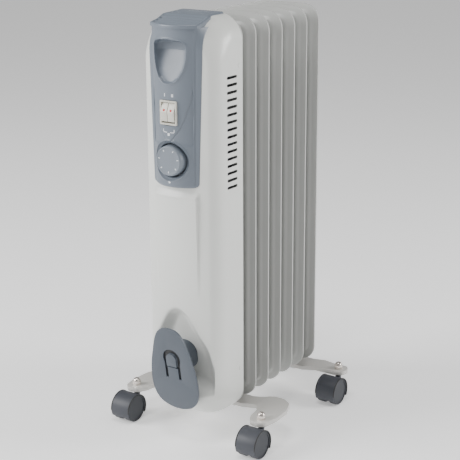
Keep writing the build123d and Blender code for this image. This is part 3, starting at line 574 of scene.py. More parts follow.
# %% Pad and hollow
PAD_TOP = FOOT + 343
PAD_FULL = PAD_TOP - 10
PAD_END = FOOT + 185
PAD_HALF = 36.5
PAD_BEVEL = 9.0
PAD_PROUD = 1.8 * PAD_RISE


def pad_rise(x, z):
    """How far the pad stands proud of the front."""
    half = PAD_HALF + 2.4 * ease(z, PAD_FULL, PAD_TOP)
    down = np.clip((z - PAD_END) / (PAD_FULL - PAD_END), 0, 1)
    bevel = np.clip((PAD_TOP - z) / PAD_BEVEL, 0, 1)
    edge = ease(half - np.abs(x), -1.0, 1.2)
    return PAD_PROUD * down ** 0.8 * bevel * edge


LEAN = math.tan(math.radians(9.3))
HOLLOW_TOP = FOOT + 167
HOLLOW_DEPTH = 9
HOLLOW_WALL_SLOPE = 1.15
BELL_RIGHT = [(15, 160.6), (22.5, 150), (35, 129), (49, 109), (54.5, 87), (59, 69), (61.5, 52),
              (58, 38), (46, 33.5)]
BELL = rounded([(0, 168), *both_sides(BELL_RIGHT)], 2) + (0, FOOT)


def hollow_y(front_y, x, z):
    """Y of the cord hollow's surface, or the front's own Y outside it."""
    floor_y = FRONT_Y + HOLLOW_DEPTH + LEAN * (HOLLOW_TOP - z)
    inside = outline_depth(x, z, BELL)
    wall = front_y + HOLLOW_WALL_SLOPE * soft_max(inside, np.zeros_like(inside), 2.0)
    return soft_min(wall, floor_y, 5.0)


print("the pad stands", round(PAD_PROUD, 1), "mm proud at its top")

# %% [markdown]
# ## Pressing the casing
#
# The tray is laid on the rounded form, the two features are pressed in, and the
# sheet gets its thickness inwards. The tray's quads are about 2 mm high, which
# is fine enough for the hollow's sloping walls.

# %% Casing shell
ACROSS, UP, DEEP = 68, 318, 17
HOLLOW_NEAR = FOOT + 180
shell = front_sheet("casing_shell", ACROSS, UP)
pull_rim(shell, DEEP, (0, 1 / DEEP, 0))
tray = unit_points(shell)
laid = np.stack([tray[:, 0] * 2 * (HALF_W - 1),
                 FRONT_Y + 3 + tray[:, 1] * (BACK_Y - FRONT_Y - 3),
                 CASING_MIDDLE_Z + tray[:, 2] * 2 * (CASING_HALF_H - 1)], 1)
rim = np.isclose(tray[:, 1], 1)
pressed = settle(laid, casing_distance)
pressed[rim, 1] = BACK_Y
on_front = tray[:, 1] < 1e-6
x, front_y, z = pressed.T.copy()
moved_y = front_y - pad_rise(x, z)
near = on_front & (z < HOLLOW_NEAR)
moved_y[near] = np.maximum(moved_y[near], hollow_y(front_y[near], x[near], z[near]))
pressed[on_front, 1] = moved_y[on_front]
move_points(shell, pressed)
thicken(shell, 1.0)
print("the pressing has", len(shell.data.vertices), "points")

# %% [markdown]
# ## Openings behind the panel and the cover
#
# The real casing is cut out where the panel and the top cover sit, to make room
# for the switch, the thermostat and the finger scoop. A box takes each opening
# out, and the mouldings lap over its edges.

# %% Two openings
PANEL_OPENING_HALF = 31
COVER_OPENING_HALF = 34
OPENING_LAP = 6.0
OPENING_START = FRONT_Y - 20
COVER_OPENING_BACK = -106
panel_low, panel_high = box_mm("control_panel")


def box_cutter(name, low, high):
    deselect_all()
    low, high = np.array(low), np.array(high)
    bpy.ops.mesh.primitive_cube_add(size=1)
    cutter = named(name)
    move_points(cutter, unit_points(cutter) * (high - low) + (low + high) / 2)
    return cutter


cut_away(shell, box_cutter(
    "panel_opening",
    (-PANEL_OPENING_HALF, OPENING_START, panel_low[2] + OPENING_LAP),
    (PANEL_OPENING_HALF, FRONT_Y + 32, panel_high[2] - OPENING_LAP)))
cut_away(shell, box_cutter(
    "cover_opening",
    (-COVER_OPENING_HALF, OPENING_START, panel_high[2] - 25),
    (COVER_OPENING_HALF, COVER_OPENING_BACK, casing_high[2] + 10)))
print("with its openings the casing has", len(shell.data.polygons), "faces")

# %% [markdown]
# ## The vents
#
# Warm air leaves through sixteen slots with round ends in each side. They are
# punched in one stroke on the real casing, and here one bar that runs right
# across is repeated down the side and cuts both sides at once.

# %% Vents
VENTS = 16
VENT_PITCH = 10.4
VENT_LENGTH = 25.0
VENT_HEIGHT = 4.2
VENT_TOP_Z = FOOT + 502.5
VENT_MIDDLE_Y = -87.8


def vent_cutter():
    """One bar with round ends across the whole casing, repeated down the side."""
    deselect_all()
    bpy.ops.mesh.primitive_cylinder_add(vertices=20, radius=VENT_HEIGHT / 2 * MM, depth=0.2,
                                        rotation=(0, math.pi / 2, 0))
    bpy.ops.object.transform_apply(rotation=True)
    cutter = named("vent_cutter")
    bar = points_mm(cutter)
    bar[:, 1] += np.where(bar[:, 1] > 0.01, 1, -1) * (VENT_LENGTH - VENT_HEIGHT) / 2
    bar += (0, VENT_MIDDLE_Y, VENT_TOP_Z)
    move_points(cutter, bar)
    row = cutter.modifiers.new("row", "ARRAY")
    row.count = VENTS
    row.use_relative_offset = False
    row.use_constant_offset = True
    row.constant_offset_displace = (0, 0, -VENT_PITCH * MM)
    bpy.ops.object.modifier_apply(modifier=row.name)
    return cutter


cut_away(shell, vent_cutter())
smooth(shell)
paint(shell, casing_enamel)
place(shell, HEATER, "casing_enamel", "casing")

# %% [markdown]
# ## The control panel
#
# The panel is a moulding that hugs the casing's front. Its face is strongly
# bulged, its edges fall away in a crisp 45 degree flank, and it widens towards
# the top. A finger scoop is sunk under the top cover, a dished seat holds the
# dial, and a curved step runs from the dish up into the crease on each side.
# Each feature is a small function that says how far the face moves along Y.

# %% The panel's bulged face
PANEL_FRONT, PANEL_LOW = panel_low[1:]
PANEL_HIGH = panel_high[2]
PANEL_HALF_LOW, PANEL_SPREAD = 38.8, 0.0335
CREASE_HALF_LOW, CREASE_SPREAD = 33.7, 0.0096
CREASE_Y = -135.4
EDGE_PROUD = 0.5
SHOULDER_START = FOOT + 528.0
SHOULDER_NARROWS = 2.4


def shoulder_back(z):
    """0 to 1 where the flank falls back with the casing's top shoulder."""
    return np.clip((z - SHOULDER_START) / (PANEL_HIGH - SHOULDER_START), 0, 1) ** 2


def panel_half(z):
    """Half the panel's width at a height."""
    return PANEL_HALF_LOW + (z - PANEL_LOW) * PANEL_SPREAD - SHOULDER_NARROWS * shoulder_back(z)


def crease_half(z):
    """How far the crease is from the middle at a height."""
    return CREASE_HALF_LOW + (z - PANEL_LOW) * CREASE_SPREAD


def casing_front_y(x, z):
    """Y of the casing's front, found by stepping back until the form is met."""
    y = np.full(x.shape, FRONT_Y)
    for _ in range(60):
        y = y + casing_distance(np.stack([x, y, z], 1))
    return y


def panel_face_y(x, z):
    """The bulged face between the creases and the flanks outside them."""
    crease = crease_half(z)
    rise = CREASE_Y - PANEL_FRONT
    radius = (crease ** 2 + rise ** 2) / (2 * rise)
    bulge = PANEL_FRONT + radius - np.sqrt(radius ** 2 - np.minimum(np.abs(x), crease + 2) ** 2)
    edge_y = casing_front_y(panel_half(z), z) - EDGE_PROUD
    across = np.clip((np.abs(x) - crease) / (panel_half(z) - crease), 0, 1)
    flank = CREASE_Y + 1.0 * ease(across, 0, 0.12) + across ** 1.5 * (edge_y - CREASE_Y - 1.0)
    face = np.where(np.abs(x) > crease, flank, bulge)
    face = face - 0.45 * np.exp(-((np.abs(x) - crease + 0.5) / 0.7) ** 2)
    low_edge = ease(z, PANEL_LOW, PANEL_LOW + 3.0)
    return face + 2.2 * (1 - low_edge)


widest = 2 * panel_half(SHOULDER_START)
print("the panel widens from", 2 * PANEL_HALF_LOW, "to", round(widest, 1), "mm")

# %% [markdown]
# ## The finger scoop
#
# Fingers reach under the top cover to pull the heater along, so the panel has a
# bowl there: round across, deepest near its flat top, and shallow at its tip.
# Its rim is a rounded outline, and its half width at each height sets how the
# bowl curves across.

# %% The finger scoop
SCOOP_TIP = 496.0
SCOOP_RIGHT = [(26.8, 557), (27.3, 536), (24.5, 520), (17.5, 505), (8, 497)]
SCOOP = rounded(both_sides(SCOOP_RIGHT), 3) + (0, FOOT)
SCOOP_HALF_AT = np.array([(0.0, SCOOP_TIP), (8.0, 498.0), (16.5, 505.0), (22.5, 516.0),
                          (25.6, 528.0), (27.0, 541.0), (26.6, 552.0), (23.0, 558.5)])
SCOOP_DEPTH_TIP, SCOOP_DEPTH_GROWS = 4, 16


def scoop_depth(x, z):
    """A round bowl, deepest under the top, with a small bead round its rim."""
    half = np.interp(z, SCOOP_HALF_AT[:, 1] + FOOT, SCOOP_HALF_AT[:, 0])
    sideways = np.clip(np.abs(x) / np.maximum(half, 0.1), 0, 1)
    height = np.clip((z - FOOT - SCOOP_TIP) / 45, 0, 1)
    bowl = (SCOOP_DEPTH_TIP + SCOOP_DEPTH_GROWS * height) * np.sqrt(1 - sideways ** 2)
    bowl *= ease(FOOT + 560 - z, 0, 9) * ease(z, FOOT + 495, FOOT + 499)
    inside = outline_depth(x, z, SCOOP)
    bead = 1.3 * np.exp(-((inside + 0.5) / 1.1) ** 2)
    return bowl * ease(inside, -0.5, 1.0) - bead


print("the scoop is", SCOOP_DEPTH_TIP + SCOOP_DEPTH_GROWS, "mm deep under the cover")

# %% [markdown]
# ## The curved step and the dial's seat
#
# A curved line sweeps from the dial up to each crease, and the face outside it
# lies a millimetre lower. The line is given by a few listed points, and the
# step follows the distance from it. The dial sits in a round seat: a bevelled
# wall, then a steep one, down to a flat floor.

# %% The step and the seat
STEP_LINE = np.array([(0.0, 415), (5.0, 418), (10.0, 425), (17.0, 434), (24.0, 449), (28.0, 464),
                      (31.0, 473), (34.0, 490), (35.2, 524)])
dial_low, dial_high = box_mm("thermostat_dial")
DIAL_Z = (dial_low[2] + dial_high[2]) / 2
DIAL_R = (dial_high[0] - dial_low[0]) / 2
DISH_R = 28.6
DISH_FLOOR_Y = -136.6
DISH_BEVEL = 4.3


def step_down(x, z):
    """The face outside the curved line lies a little lower than inside it."""
    halves, heights = STEP_LINE.T + np.array([[0], [FOOT]])
    line = np.interp(z, heights, halves)
    slope = np.interp(z, (heights[1:] + heights[:-1]) / 2, np.diff(halves) / np.diff(heights))
    away = (np.abs(x) - line) / np.sqrt(1 + slope ** 2)
    lower = ease(away, -0.5, 0.5) * ease(z, FOOT + 408, FOOT + 414)
    groove = 0.7 * np.exp(-(away / 0.8) ** 2) * ease(z, FOOT + 411, FOOT + 416)
    fades = 1 - ease(z, FOOT + 505, FOOT + 526)
    inside_crease = 1 - ease(np.abs(x), crease_half(z) - 1.6, crease_half(z) - 0.6)
    return (lower + groove) * fades * inside_crease


def dished(y, x, z):
    """The dial's seat, cut into a face that is at y."""
    from_middle = np.hypot(x, z - DIAL_Z)
    inward = np.maximum(DISH_R - from_middle, 0)
    depth = 0.85 * inward + 12.0 * np.maximum(inward - DISH_BEVEL, 0)
    wall = soft_min(y + depth, np.full_like(y, DISH_FLOOR_Y), 1.0)
    bead = 1.1 * np.exp(-((from_middle - DISH_R - 0.2) / 1.1) ** 2)
    return np.where(inward > 0, np.maximum(wall, y), y) - bead


print("the dial's seat is", 2 * DISH_R, "mm across and the dial", round(2 * DIAL_R, 1), "mm")

# %% [markdown]
# ## Moulding the panel
#
# A fine sheet is spread over the panel's outline, with round lower corners, and
# moved by all the features in turn. It is pulled back at its rim, given a wall,
# and cut for the switch.

# %% Panel moulding
PANEL_CORNER = 7.0
SEAT_MARGIN = 1.2
SEAT_BACK = 2.2
SWITCH_HOLE = 1.0
switch_low, switch_high = box_mm("switch_housing")
SWITCH_Z = (switch_low[2] + switch_high[2]) / 2
SWITCH_HALF_W = (switch_high[0] - switch_low[0]) / 2
SWITCH_HALF_H = (switch_high[2] - switch_low[2]) / 2

panel = front_sheet("panel_moulding", 120, 280)
unit = unit_points(panel)
panel_z = PANEL_LOW + (unit[:, 2] + 0.5) * (PANEL_HIGH - PANEL_LOW)
in_corner = np.clip(1 - (panel_z - PANEL_LOW) / PANEL_CORNER, 0, 1)
cut_corner = PANEL_CORNER * (1 - np.sqrt(1 - in_corner ** 2))
panel_x = unit[:, 0] * 2 * (panel_half(panel_z) - cut_corner)
panel_y = panel_face_y(panel_x, panel_z) + step_down(panel_x, panel_z)
panel_y = dished(panel_y, panel_x, panel_z) + scoop_depth(panel_x, panel_z)
seat = box_depth(panel_x, panel_z - SWITCH_Z,
                 SWITCH_HALF_W + SEAT_MARGIN, SWITCH_HALF_H + SEAT_MARGIN, 2.0)
seated = ease(seat, -0.1, 0.8)
seat_y = (switch_low[1] + SEAT_BACK) * seated + panel_y * (1 - seated)
panel_y = np.where(seat > 0, np.maximum(panel_y, seat_y), panel_y)
move_points(panel, np.stack([panel_x, panel_y, panel_z], 1))
pull_rim(panel, 2, (0, 0.011, 0))
thicken(panel, 1.6)
cut_away(panel, box_cutter(
    "switch_hole",
    (switch_low[0] + SWITCH_HOLE, PANEL_FRONT - 5, switch_low[2] + SWITCH_HOLE),
    (switch_high[0] - SWITCH_HOLE, FRONT_Y + 30, switch_high[2] - SWITCH_HOLE)))
smooth(panel)
paint(panel, panel_plastic)
place(panel, HEATER, "panel_plastic", "control_panel")

# %% [markdown]
# ## The top cover
#
# A second moulding closes the top: a lip that overhangs the panel in an arc, a
# dished tray with ribs for grip, and a narrower tab that runs back over the
# casing. It is a grid laid on the cover's plan, lifted to the height of each
# feature, with its rim pulled down.

# %% The cover's upper face
cover_low, cover_high = box_mm("top_handle")
COVER_FRONT = cover_low[1]
COVER_HALF, COVER_BACK = cover_high[:2]
TAB_HALF = 36.0
LIP_SWEEP = 16.2
RIB_PITCH = 8.0
TRAY_DEPTH, RIB_HEIGHT = 3.6, 2.0
GROOVE_DEPTH, GROOVE_PITCH, GROOVE_START = 1.6, 10, -96


def cover_half(y):
    """Half the cover's width, which steps in to the tab behind the lip."""
    return TAB_HALF + (COVER_HALF - TAB_HALF) * (1 - ease(y, -106, -98))


def cover_top(x, y):
    """Height of the cover's upper face."""
    edge = np.minimum(cover_half(y) - np.abs(x), 30)
    lip_arc = COVER_FRONT + LIP_SWEEP * (x / COVER_HALF) ** 2
    behind_lip = y - (lip_arc - COVER_FRONT) * (1 - ease(y, -122, -100))
    lift = np.interp(behind_lip, [COVER_FRONT, -138, -120, -100, COVER_BACK],
                     [577.4, 579.6, 583.4, 587.2, 588.4])
    inner = np.minimum(edge, y - lip_arc)
    tray = ease(inner, 2.2, 6.0) * (1 - ease(y, -112, -104))
    ribs = 0.5 + 0.5 * np.cos((y - COVER_FRONT) * 2 * np.pi / RIB_PITCH)
    from_line = np.abs((y - GROOVE_START) % GROOVE_PITCH - GROOVE_PITCH / 2)
    on_tab = ease(y, -98, -95) * (1 - ease(y, -74, -71)) * ease(edge, 3, 5)
    grooves = GROOVE_DEPTH * ease(from_line, 3.6, 4.6) * on_tab
    soft_edge = 1.4 * np.exp(-np.maximum(inner, 0) / 0.9)
    return FOOT + lift - tray * (TRAY_DEPTH - RIB_HEIGHT * ribs) - grooves - soft_edge


print("the cover's tab is", 2 * TAB_HALF, "mm wide and its lip", round(2 * COVER_HALF, 1), "mm")

# %% Moulding the cover
LIP = 4.2
RINGS = 3
SIDE_DROP = 9.0
cover = front_sheet("top_cover", 84, 120)
unit = unit_points(cover)
along = unit[:, 2] + 0.5
straight_y = COVER_FRONT + along * (COVER_BACK - COVER_FRONT)
cover_x = unit[:, 0] * 2 * cover_half(straight_y)
cover_y = straight_y + LIP_SWEEP * (cover_x / COVER_HALF) ** 2 * (1 - along) ** 2
move_points(cover, np.stack([cover_x, cover_y, cover_top(cover_x, cover_y)], 1))
pull_rim(cover, RINGS, (0, 0, -LIP / RINGS * MM))
skirt = points_mm(cover)
ring_size = (len(skirt) - len(unit)) // RINGS
for ring in range(RINGS):
    start = len(unit) + ring * ring_size
    here = slice(start, start + ring_size)
    skirt[here, 2] -= SIDE_DROP * ease(skirt[here, 1], -131, -118) * (ring + 1) / RINGS
move_points(cover, skirt)
thicken(cover, 1.6)
smooth(cover)
paint(cover, panel_plastic)
place(cover, HEATER, "panel_plastic", "top_handle")

# %% [markdown]
# ## The fins
#
# Each fin is two pressed sheets welded round their rim. Across the edge it shows
# a rolled rim, a flat weld flange, and a soft bead, and inside that three oil
# channels run between two round headers. One sheet is laid out as a grid that
# fits the rounded outline, raised by the profile, mirrored for the other sheet
# and joined, and the fin is then copied along the headers.

# %% The fin's profile
fin_low, fin_high = box_mm("fin_1")
FIN_HALF_W = fin_high[0]
FIN_HALF_H = (fin_high[2] - fin_low[2]) / 2
FIN_MIDDLE_Z = (fin_high[2] + fin_low[2]) / 2
FIN_SWELL = (fin_high[1] - fin_low[1]) / 2
FIN_CORNER = 26.0
FLANGE_HALF = 0.75
RIM_ROLL, BEAD_RISE = 0.5, 2.6
CHANNELS_X = (-30.0, 0.0, 30.0)
HEADER_AT = FIN_HALF_H - 62.0
HEADER_R = 34.0


def fin_half_thickness(x, z):
    """Half the fin's thickness, from the rim inwards."""
    depth = box_depth(x, z, FIN_HALF_W, FIN_HALF_H, FIN_CORNER)
    rim = RIM_ROLL * (1 - ease(depth, 1.6, 3.0))
    bead = BEAD_RISE * ease(depth, 9.0, 13.5) * (1 - ease(depth, 16.5, 21.5))
    body = FLANGE_HALF + rim + bead
    swell = FIN_SWELL - FLANGE_HALF
    for middle in CHANNELS_X:
        channel = box_depth(x - middle, z, 10.5, HEADER_AT + 6, 9.0)
        body = soft_max(body, FLANGE_HALF + swell * ease(channel, -1.0, 7.5), 0.6)
    for end in (-HEADER_AT, HEADER_AT):
        header = HEADER_R - np.hypot(x, z - end)
        body = soft_max(body, FLANGE_HALF + swell * ease(header, -1.0, 9.0), 0.6)
    return np.minimum(body, FIN_SWELL)


print("a fin is", round(2 * FIN_HALF_W), "x", round(2 * FIN_HALF_H), "mm")


# %% One fin
def make_fin():
    """The first fin, both sheets, standing in the first fin's place."""
    fin = front_sheet("fin_sheet_1", 64, 236)
    unit = unit_points(fin)
    spread = np.sin(unit[:, 2] * np.pi) * 0.5
    z = (0.75 * unit[:, 2] + 0.25 * spread) * 2 * FIN_HALF_H
    past = np.maximum(np.abs(z) - (FIN_HALF_H - FIN_CORNER), 0)
    half = FIN_HALF_W - FIN_CORNER + np.sqrt(np.maximum(FIN_CORNER ** 2 - past ** 2, 0))
    x = unit[:, 0] * 2 * half
    middle_y = (fin_low[1] + fin_high[1]) / 2
    thick = fin_half_thickness(x, z)
    move_points(fin, np.stack([x, middle_y - thick, z + FIN_MIDDLE_Z], 1))
    other = copied(fin, "other_sheet")
    move_points(other, np.stack([x, middle_y + thick, z + FIN_MIDDLE_Z], 1))
    with editing(other):
        bpy.ops.mesh.flip_normals()
    take_all([fin, other])
    bpy.ops.object.join()
    with editing(fin, "DESELECT"):
        bpy.ops.mesh.select_mode(type="EDGE")
        bpy.ops.mesh.select_non_manifold()
        bpy.ops.mesh.bridge_edge_loops()
    return fin


first_fin = make_fin()
smooth(first_fin, 50)
# The darker fin enamel is painted shade between the fins.
paint(first_fin, fin_enamel)
print("one fin has", len(first_fin.data.vertices), "points")

# %% The row of fins
fins = [first_fin]
for number in range(2, 1 + sum(name.startswith("fin_") for name in frame["nodes"])):
    fin = copied(first_fin, f"fin_sheet_{number}")
    move_points(fin, points_mm(fin) + box_mm(f"fin_{number}")[0] - fin_low)
    fins.append(fin)
for number, fin in enumerate(fins, 1):
    place(fin, HEATER, "fin_enamel", f"fin_{number}")

# %% [markdown]
# ## Softening the engineered parts
#
# The feet, hoods, switch and the cord plate already have their true shapes, but
# moulded and pressed parts have no knife edges. A copy of the node is merged
# back into clean faces, and a bevel on its sharp edges gives it the small radius
# that catches the light.

# %% Softened copies
def softened(node, name, radius, body, slot_name):
    """A copy of a node with clean faces and a small radius on its edges."""
    piece = copied(frame["nodes"][node], name)
    with editing(piece):
        bpy.ops.mesh.remove_doubles(threshold=0.00001)
        bpy.ops.mesh.dissolve_limited(angle_limit=math.radians(0.6))
    round_edges(piece, radius, 28)
    smooth(piece)
    paint(piece, SLOT_FINISH[slot_name])
    place(piece, body, slot_name, node)
    return piece


# The feet are repainted with the darker enamel, whose extra darkness is painted shade.
for foot in ("front_foot", "rear_foot"):
    paint(softened(f"{foot}_bracket", foot, 0.7, HEATER, "casing_enamel"), shaded_foot_enamel)
softened("cord_plate", "winder_plate", 0.8, HEATER, "cord_winder_plastic")
softened("switch_housing", "switch_bezel", 0.4, HEATER, "switch_plastic")
for side in ("left", "right"):
    softened(f"rocker_{side}", f"rocker_key_{side}", 0.4, f"rocker_switch_{side}",
             "switch_plastic")
CORNERS = ("front_left", "front_right", "rear_left", "rear_right")
for corner in CORNERS:
    softened(f"caster_hood_{corner}", f"hood_{corner}", 0.35, f"caster_{corner}",
             "caster_hood_plastic")

# %% [markdown]
# ## The catch in the plate's window
#
# A springy catch on the hub shows through the plate's arch window and holds the
# cord's end. On the real one it is a narrow arch with straight sides. The copy of
# the hub is turned in thought to lean with the plate, and its points in front of
# the hub are drawn in across until they fit that arch.

# %% The catch
PIVOT_Y = -155.5
PIVOT_Z = FOOT + 107.5
CATCH_START = -2.9
CATCH_LOW = -27.5
CATCH_RAISED = 1.2
CATCH_HALF_W = 8.8
CATCH_TOP = -6.5
WIDE_R, WIDE_MIDDLE = 12.7, 19.2


def narrowed_catch(hub):
    """The catch in the plate's window is a narrow arch with straight sides."""
    points = points_mm(hub)
    c, s = math.cos(math.atan(LEAN)), math.sin(math.atan(LEAN))
    forward = -c * (points[:, 1] - PIVOT_Y) - s * (points[:, 2] - PIVOT_Z)
    up = -s * (points[:, 1] - PIVOT_Y) + c * (points[:, 2] - PIVOT_Z)
    catch = forward > CATCH_START
    wide = np.sqrt(np.maximum(WIDE_R ** 2 - (up + WIDE_MIDDLE) ** 2, 0.01))
    over = np.maximum(up + CATCH_HALF_W - CATCH_TOP, 0)
    arch = np.sqrt(np.maximum(CATCH_HALF_W ** 2 - over ** 2, 0.01))
    points[catch, 0] *= (np.minimum(arch, wide) / wide)[catch]
    low = catch & (up < CATCH_LOW)
    points[low, 1:] += CATCH_RAISED * np.array([-s, c])
    move_points(hub, points)


narrowed_catch(softened("cord_hub", "winder_hub", 0.3, HEATER, "cord_winder_plastic"))

# %% [markdown]
# ## Dome nuts and screws
#
# The dome nuts that hold the casters are the brightest things on the heater.
# They are polished, so they get a warm nickel, and are swollen a little about
# their own middles to the full round form of a pressed cap. The casing's screws
# are painted over and lie almost flush, so their heads are sunk into the side.

# %% Dome nuts and flush screws
NUT_WIDER, NUT_TALLER = 1.2, 1.15
SCREW_SUNK = 0.75


def polished_nuts():
    """The four dome nuts, a little fuller, on the casters' stems."""
    nuts = softened("dome_nuts", "polished_nuts", 0.2, HEATER, "zinc_steel")
    points = points_mm(nuts)
    base = points[:, 2].min()
    for sign_x in (-1, 1):
        for at_front in (True, False):
            one = (np.sign(points[:, 0]) == sign_x) & ((points[:, 1] < 0) == at_front)
            centre = (points[one].min(0) + points[one].max(0)) / 2
            points[one, :2] = centre[:2] + NUT_WIDER * (points[one, :2] - centre[:2])
    points[:, 2] = base + NUT_TALLER * (points[:, 2] - base)
    move_points(nuts, points)
    paint(nuts, warm_nickel)


polished_nuts()
flush = softened("casing_screws", "flush_screws", 0.15, HEATER, "casing_enamel")
heads = points_mm(flush)
proud = np.maximum(np.abs(heads[:, 0]) - HALF_W, 0)
heads[:, 0] -= np.sign(heads[:, 0]) * SCREW_SUNK * proud
move_points(flush, heads)
print("the screw heads stood", round(proud.max(), 2), "mm proud before they were sunk")

# %% [markdown]
# ## Painted shade behind the window
#
# Round the catch the arch window opens into the hollow hub, where shade falls. A
# thin black plate stands just behind the window and leans with it: it is painted
# shade, so that the gap reads as a dark outline.

# %% Painted shade plate behind the window
SHADE_PLATE_HALF_W, SHADE_PLATE_HALF_H = 16.0, 28.0
SHADE_PLATE_MIDDLE_Z = FOOT + 82.5
SHADE_PLATE_BEHIND = 2.6
SHADE_PLATE_THICK = 0.2


def window_shade_plate():
    """A black plate of painted shade behind the window, leaning with the winder's plate."""
    deselect_all()
    bpy.ops.mesh.primitive_plane_add(size=1)
    gap = named("window_shade_plate")
    flat = unit_points(gap)
    x = flat[:, 0] * 2 * SHADE_PLATE_HALF_W
    z = SHADE_PLATE_MIDDLE_Z + flat[:, 1] * 2 * SHADE_PLATE_HALF_H
    y = PIVOT_Y + SHADE_PLATE_BEHIND + (PIVOT_Z - z) * LEAN
    move_points(gap, np.stack([x, y, z], 1))
    slab(gap, SHADE_PLATE_THICK)
    paint(gap, black_plastic)
    place(gap, HEATER, "black_plastic")


window_shade_plate()

# %% [markdown]
# ## The rims of the caster hoods
#
# Each hood ends in a glossy rim that stands out a little past the wheel and
# runs over its upper part. The rim is a real lip of the hood, painted black,
# darker than the hood, as painted shade of the shadow its edge casts on the
# wheel. The rim is part of a ring: a torus cut through under the axle, made
# once and copied to both sides of each hood.

# %% Hood rims
RIM_R = 21.9
RIM_WIRE = 1.15
RIM_INSET = 0.2
CUT_UNDER = 7


def axle_middle(corner):
    return sum(box_mm(f"caster_axle_{corner}")) / 2


def pair_of_rims(corner):
    """The two rims of one hood, joined."""
    low, high = box_mm(f"caster_hood_{corner}")
    _, middle_y, middle_z = axle_middle(corner)
    rims = []
    for edge_x in (low[0] + RIM_INSET, high[0] - RIM_INSET):
        deselect_all()
        bpy.ops.mesh.primitive_torus_add(major_radius=RIM_R * MM, minor_radius=RIM_WIRE * MM,
                                         major_segments=72, minor_segments=12,
                                         location=(edge_x * MM, middle_y * MM, middle_z * MM),
                                         rotation=(0, math.pi / 2, 0))
        bpy.ops.object.transform_apply(location=True, rotation=True)
        rim = bpy.context.object
        with editing(rim):
            bpy.ops.mesh.bisect(plane_co=(0, middle_y * MM, (middle_z - CUT_UNDER) * MM),
                                plane_no=(0, -0.25, -1), clear_outer=True, use_fill=True)
        rims.append(rim)
    take_all(rims)
    bpy.ops.object.join()
    piece = named(f"hood_shade_rim_{corner}")
    smooth(piece, 50)
    # Black, darker than the hood's own plastic: painted shade under the hood's edge.
    paint(piece, black_plastic)
    return piece


rims = {CORNERS[0]: pair_of_rims(CORNERS[0])}
for corner in CORNERS[1:]:
    rims[corner] = copied(rims[CORNERS[0]], f"hood_shade_rim_{corner}")
    shift = axle_middle(corner) - axle_middle(CORNERS[0])
    move_points(rims[corner], points_mm(rims[corner]) + shift)
for corner, rim in rims.items():
    place(rim, f"caster_{corner}", "caster_hood_plastic")

# %% [markdown]
# ## The dial
#
# The dial is a deep cap with a slightly tapered side, a rounded shoulder and a
# shallow dished face. A cylinder is the start: its front is inset, and the
# shoulder and the dish are given by moving each ring. White ticks are printed on
# its face, and a dot on the panel below shows the setting.

# %% Dial knob
DIAL_RINGS = ((0.4, 0), (1.6, 0), (1.2, -0.5), (1.5, -0.3), (6.0, 0.1), (5.0, 0.1))
DIAL_SHOULDER = 2.0
DIAL_TAPER = 1.0


def dial_knob():
    """A tapered cap whose face is inset ring by ring, each a little deeper or higher."""
    deselect_all()
    _, middle_y, middle_z = (dial_low + dial_high) / 2 * MM
    bpy.ops.mesh.primitive_cylinder_add(vertices=96, radius=DIAL_R * MM,
                                        depth=(dial_high[1] - dial_low[1]) * MM,
                                        location=(0, middle_y, middle_z),
                                        rotation=(math.pi / 2, 0, 0))
    bpy.ops.object.transform_apply(location=True, rotation=True)
    knob = named("dial_knob")
    with editing(knob, "DESELECT"):
        bpy.ops.mesh.select_mode(type="FACE")
        mesh = bmesh.from_edit_mesh(knob.data)
        for face in mesh.faces:
            face.select = face.normal.y < -0.9
        bmesh.update_edit_mesh(knob.data)
        for inset, depth in DIAL_RINGS:
            bpy.ops.mesh.inset(thickness=inset * MM, depth=depth * MM)
    points = points_mm(knob)
    radius = np.hypot(points[:, 0], points[:, 2] - DIAL_Z)
    front = points[:, 1] < dial_low[1] + 2
    into_shoulder = np.clip((radius - (DIAL_R - DIAL_SHOULDER)) / DIAL_SHOULDER, 0, 1)
    points[front, 1] += DIAL_SHOULDER * into_shoulder[front] ** 2
    taper = np.where(front, 1 - DIAL_TAPER / DIAL_R, 1.0)
    points[:, 0] *= taper
    points[:, 2] = DIAL_Z + (points[:, 2] - DIAL_Z) * taper
    move_points(knob, points)
    round_edges(knob, 0.5, 30)
    smooth(knob)
    paint(knob, dial_plastic)
    place(knob, "dial", "dial_plastic", "thermostat_dial")
    return knob


knob = dial_knob()

# %% [markdown]
# ## Printed marks
#
# The white ticks, dots and signs are pad printed. Each is a very thin plate that
# lies just proud of the surface: the height of the plastic under it is asked for
# by dropping a ray onto it. All the marks on one body are joined into one piece.

# %% Helpers for printed marks
PRINT_THICK = 0.12


def drop(piece, x, z):
    """Y of a piece's front surface at a place, in millimetres."""
    hit, where, _, _ = piece.ray_cast(Vector((x * MM, -0.3, z * MM)), Vector((0, 1, 0)))
    return where.y / MM if hit else None


def bar_mark(target, x, z, width, height, turn=0.0, sides=4):
    """A thin flat plate, a bar or a dot, lying on the surface under it."""
    deselect_all()
    if sides == 4:
        bpy.ops.mesh.primitive_plane_add(size=1)
    else:
        bpy.ops.mesh.primitive_circle_add(vertices=sides, radius=0.5, fill_type="NGON")
    mark = named("mark")
    flat = unit_points(mark)
    c, s = math.cos(turn), math.sin(turn)
    mx = x + flat[:, 0] * width * c - flat[:, 1] * height * s
    mz = z + flat[:, 0] * width * s + flat[:, 1] * height * c
    my = np.array([drop(target, a, b) for a, b in zip(mx, mz)], float) - PRINT_THICK
    move_points(mark, np.stack([mx, my, mz], 1))
    slab(mark, 2 * PRINT_THICK)
    return mark


def joined(name, marks, body, slot_name):
    take_all(marks)
    bpy.ops.object.join()
    piece = named(name)
    paint(piece, print_white)
    place(piece, body, slot_name)


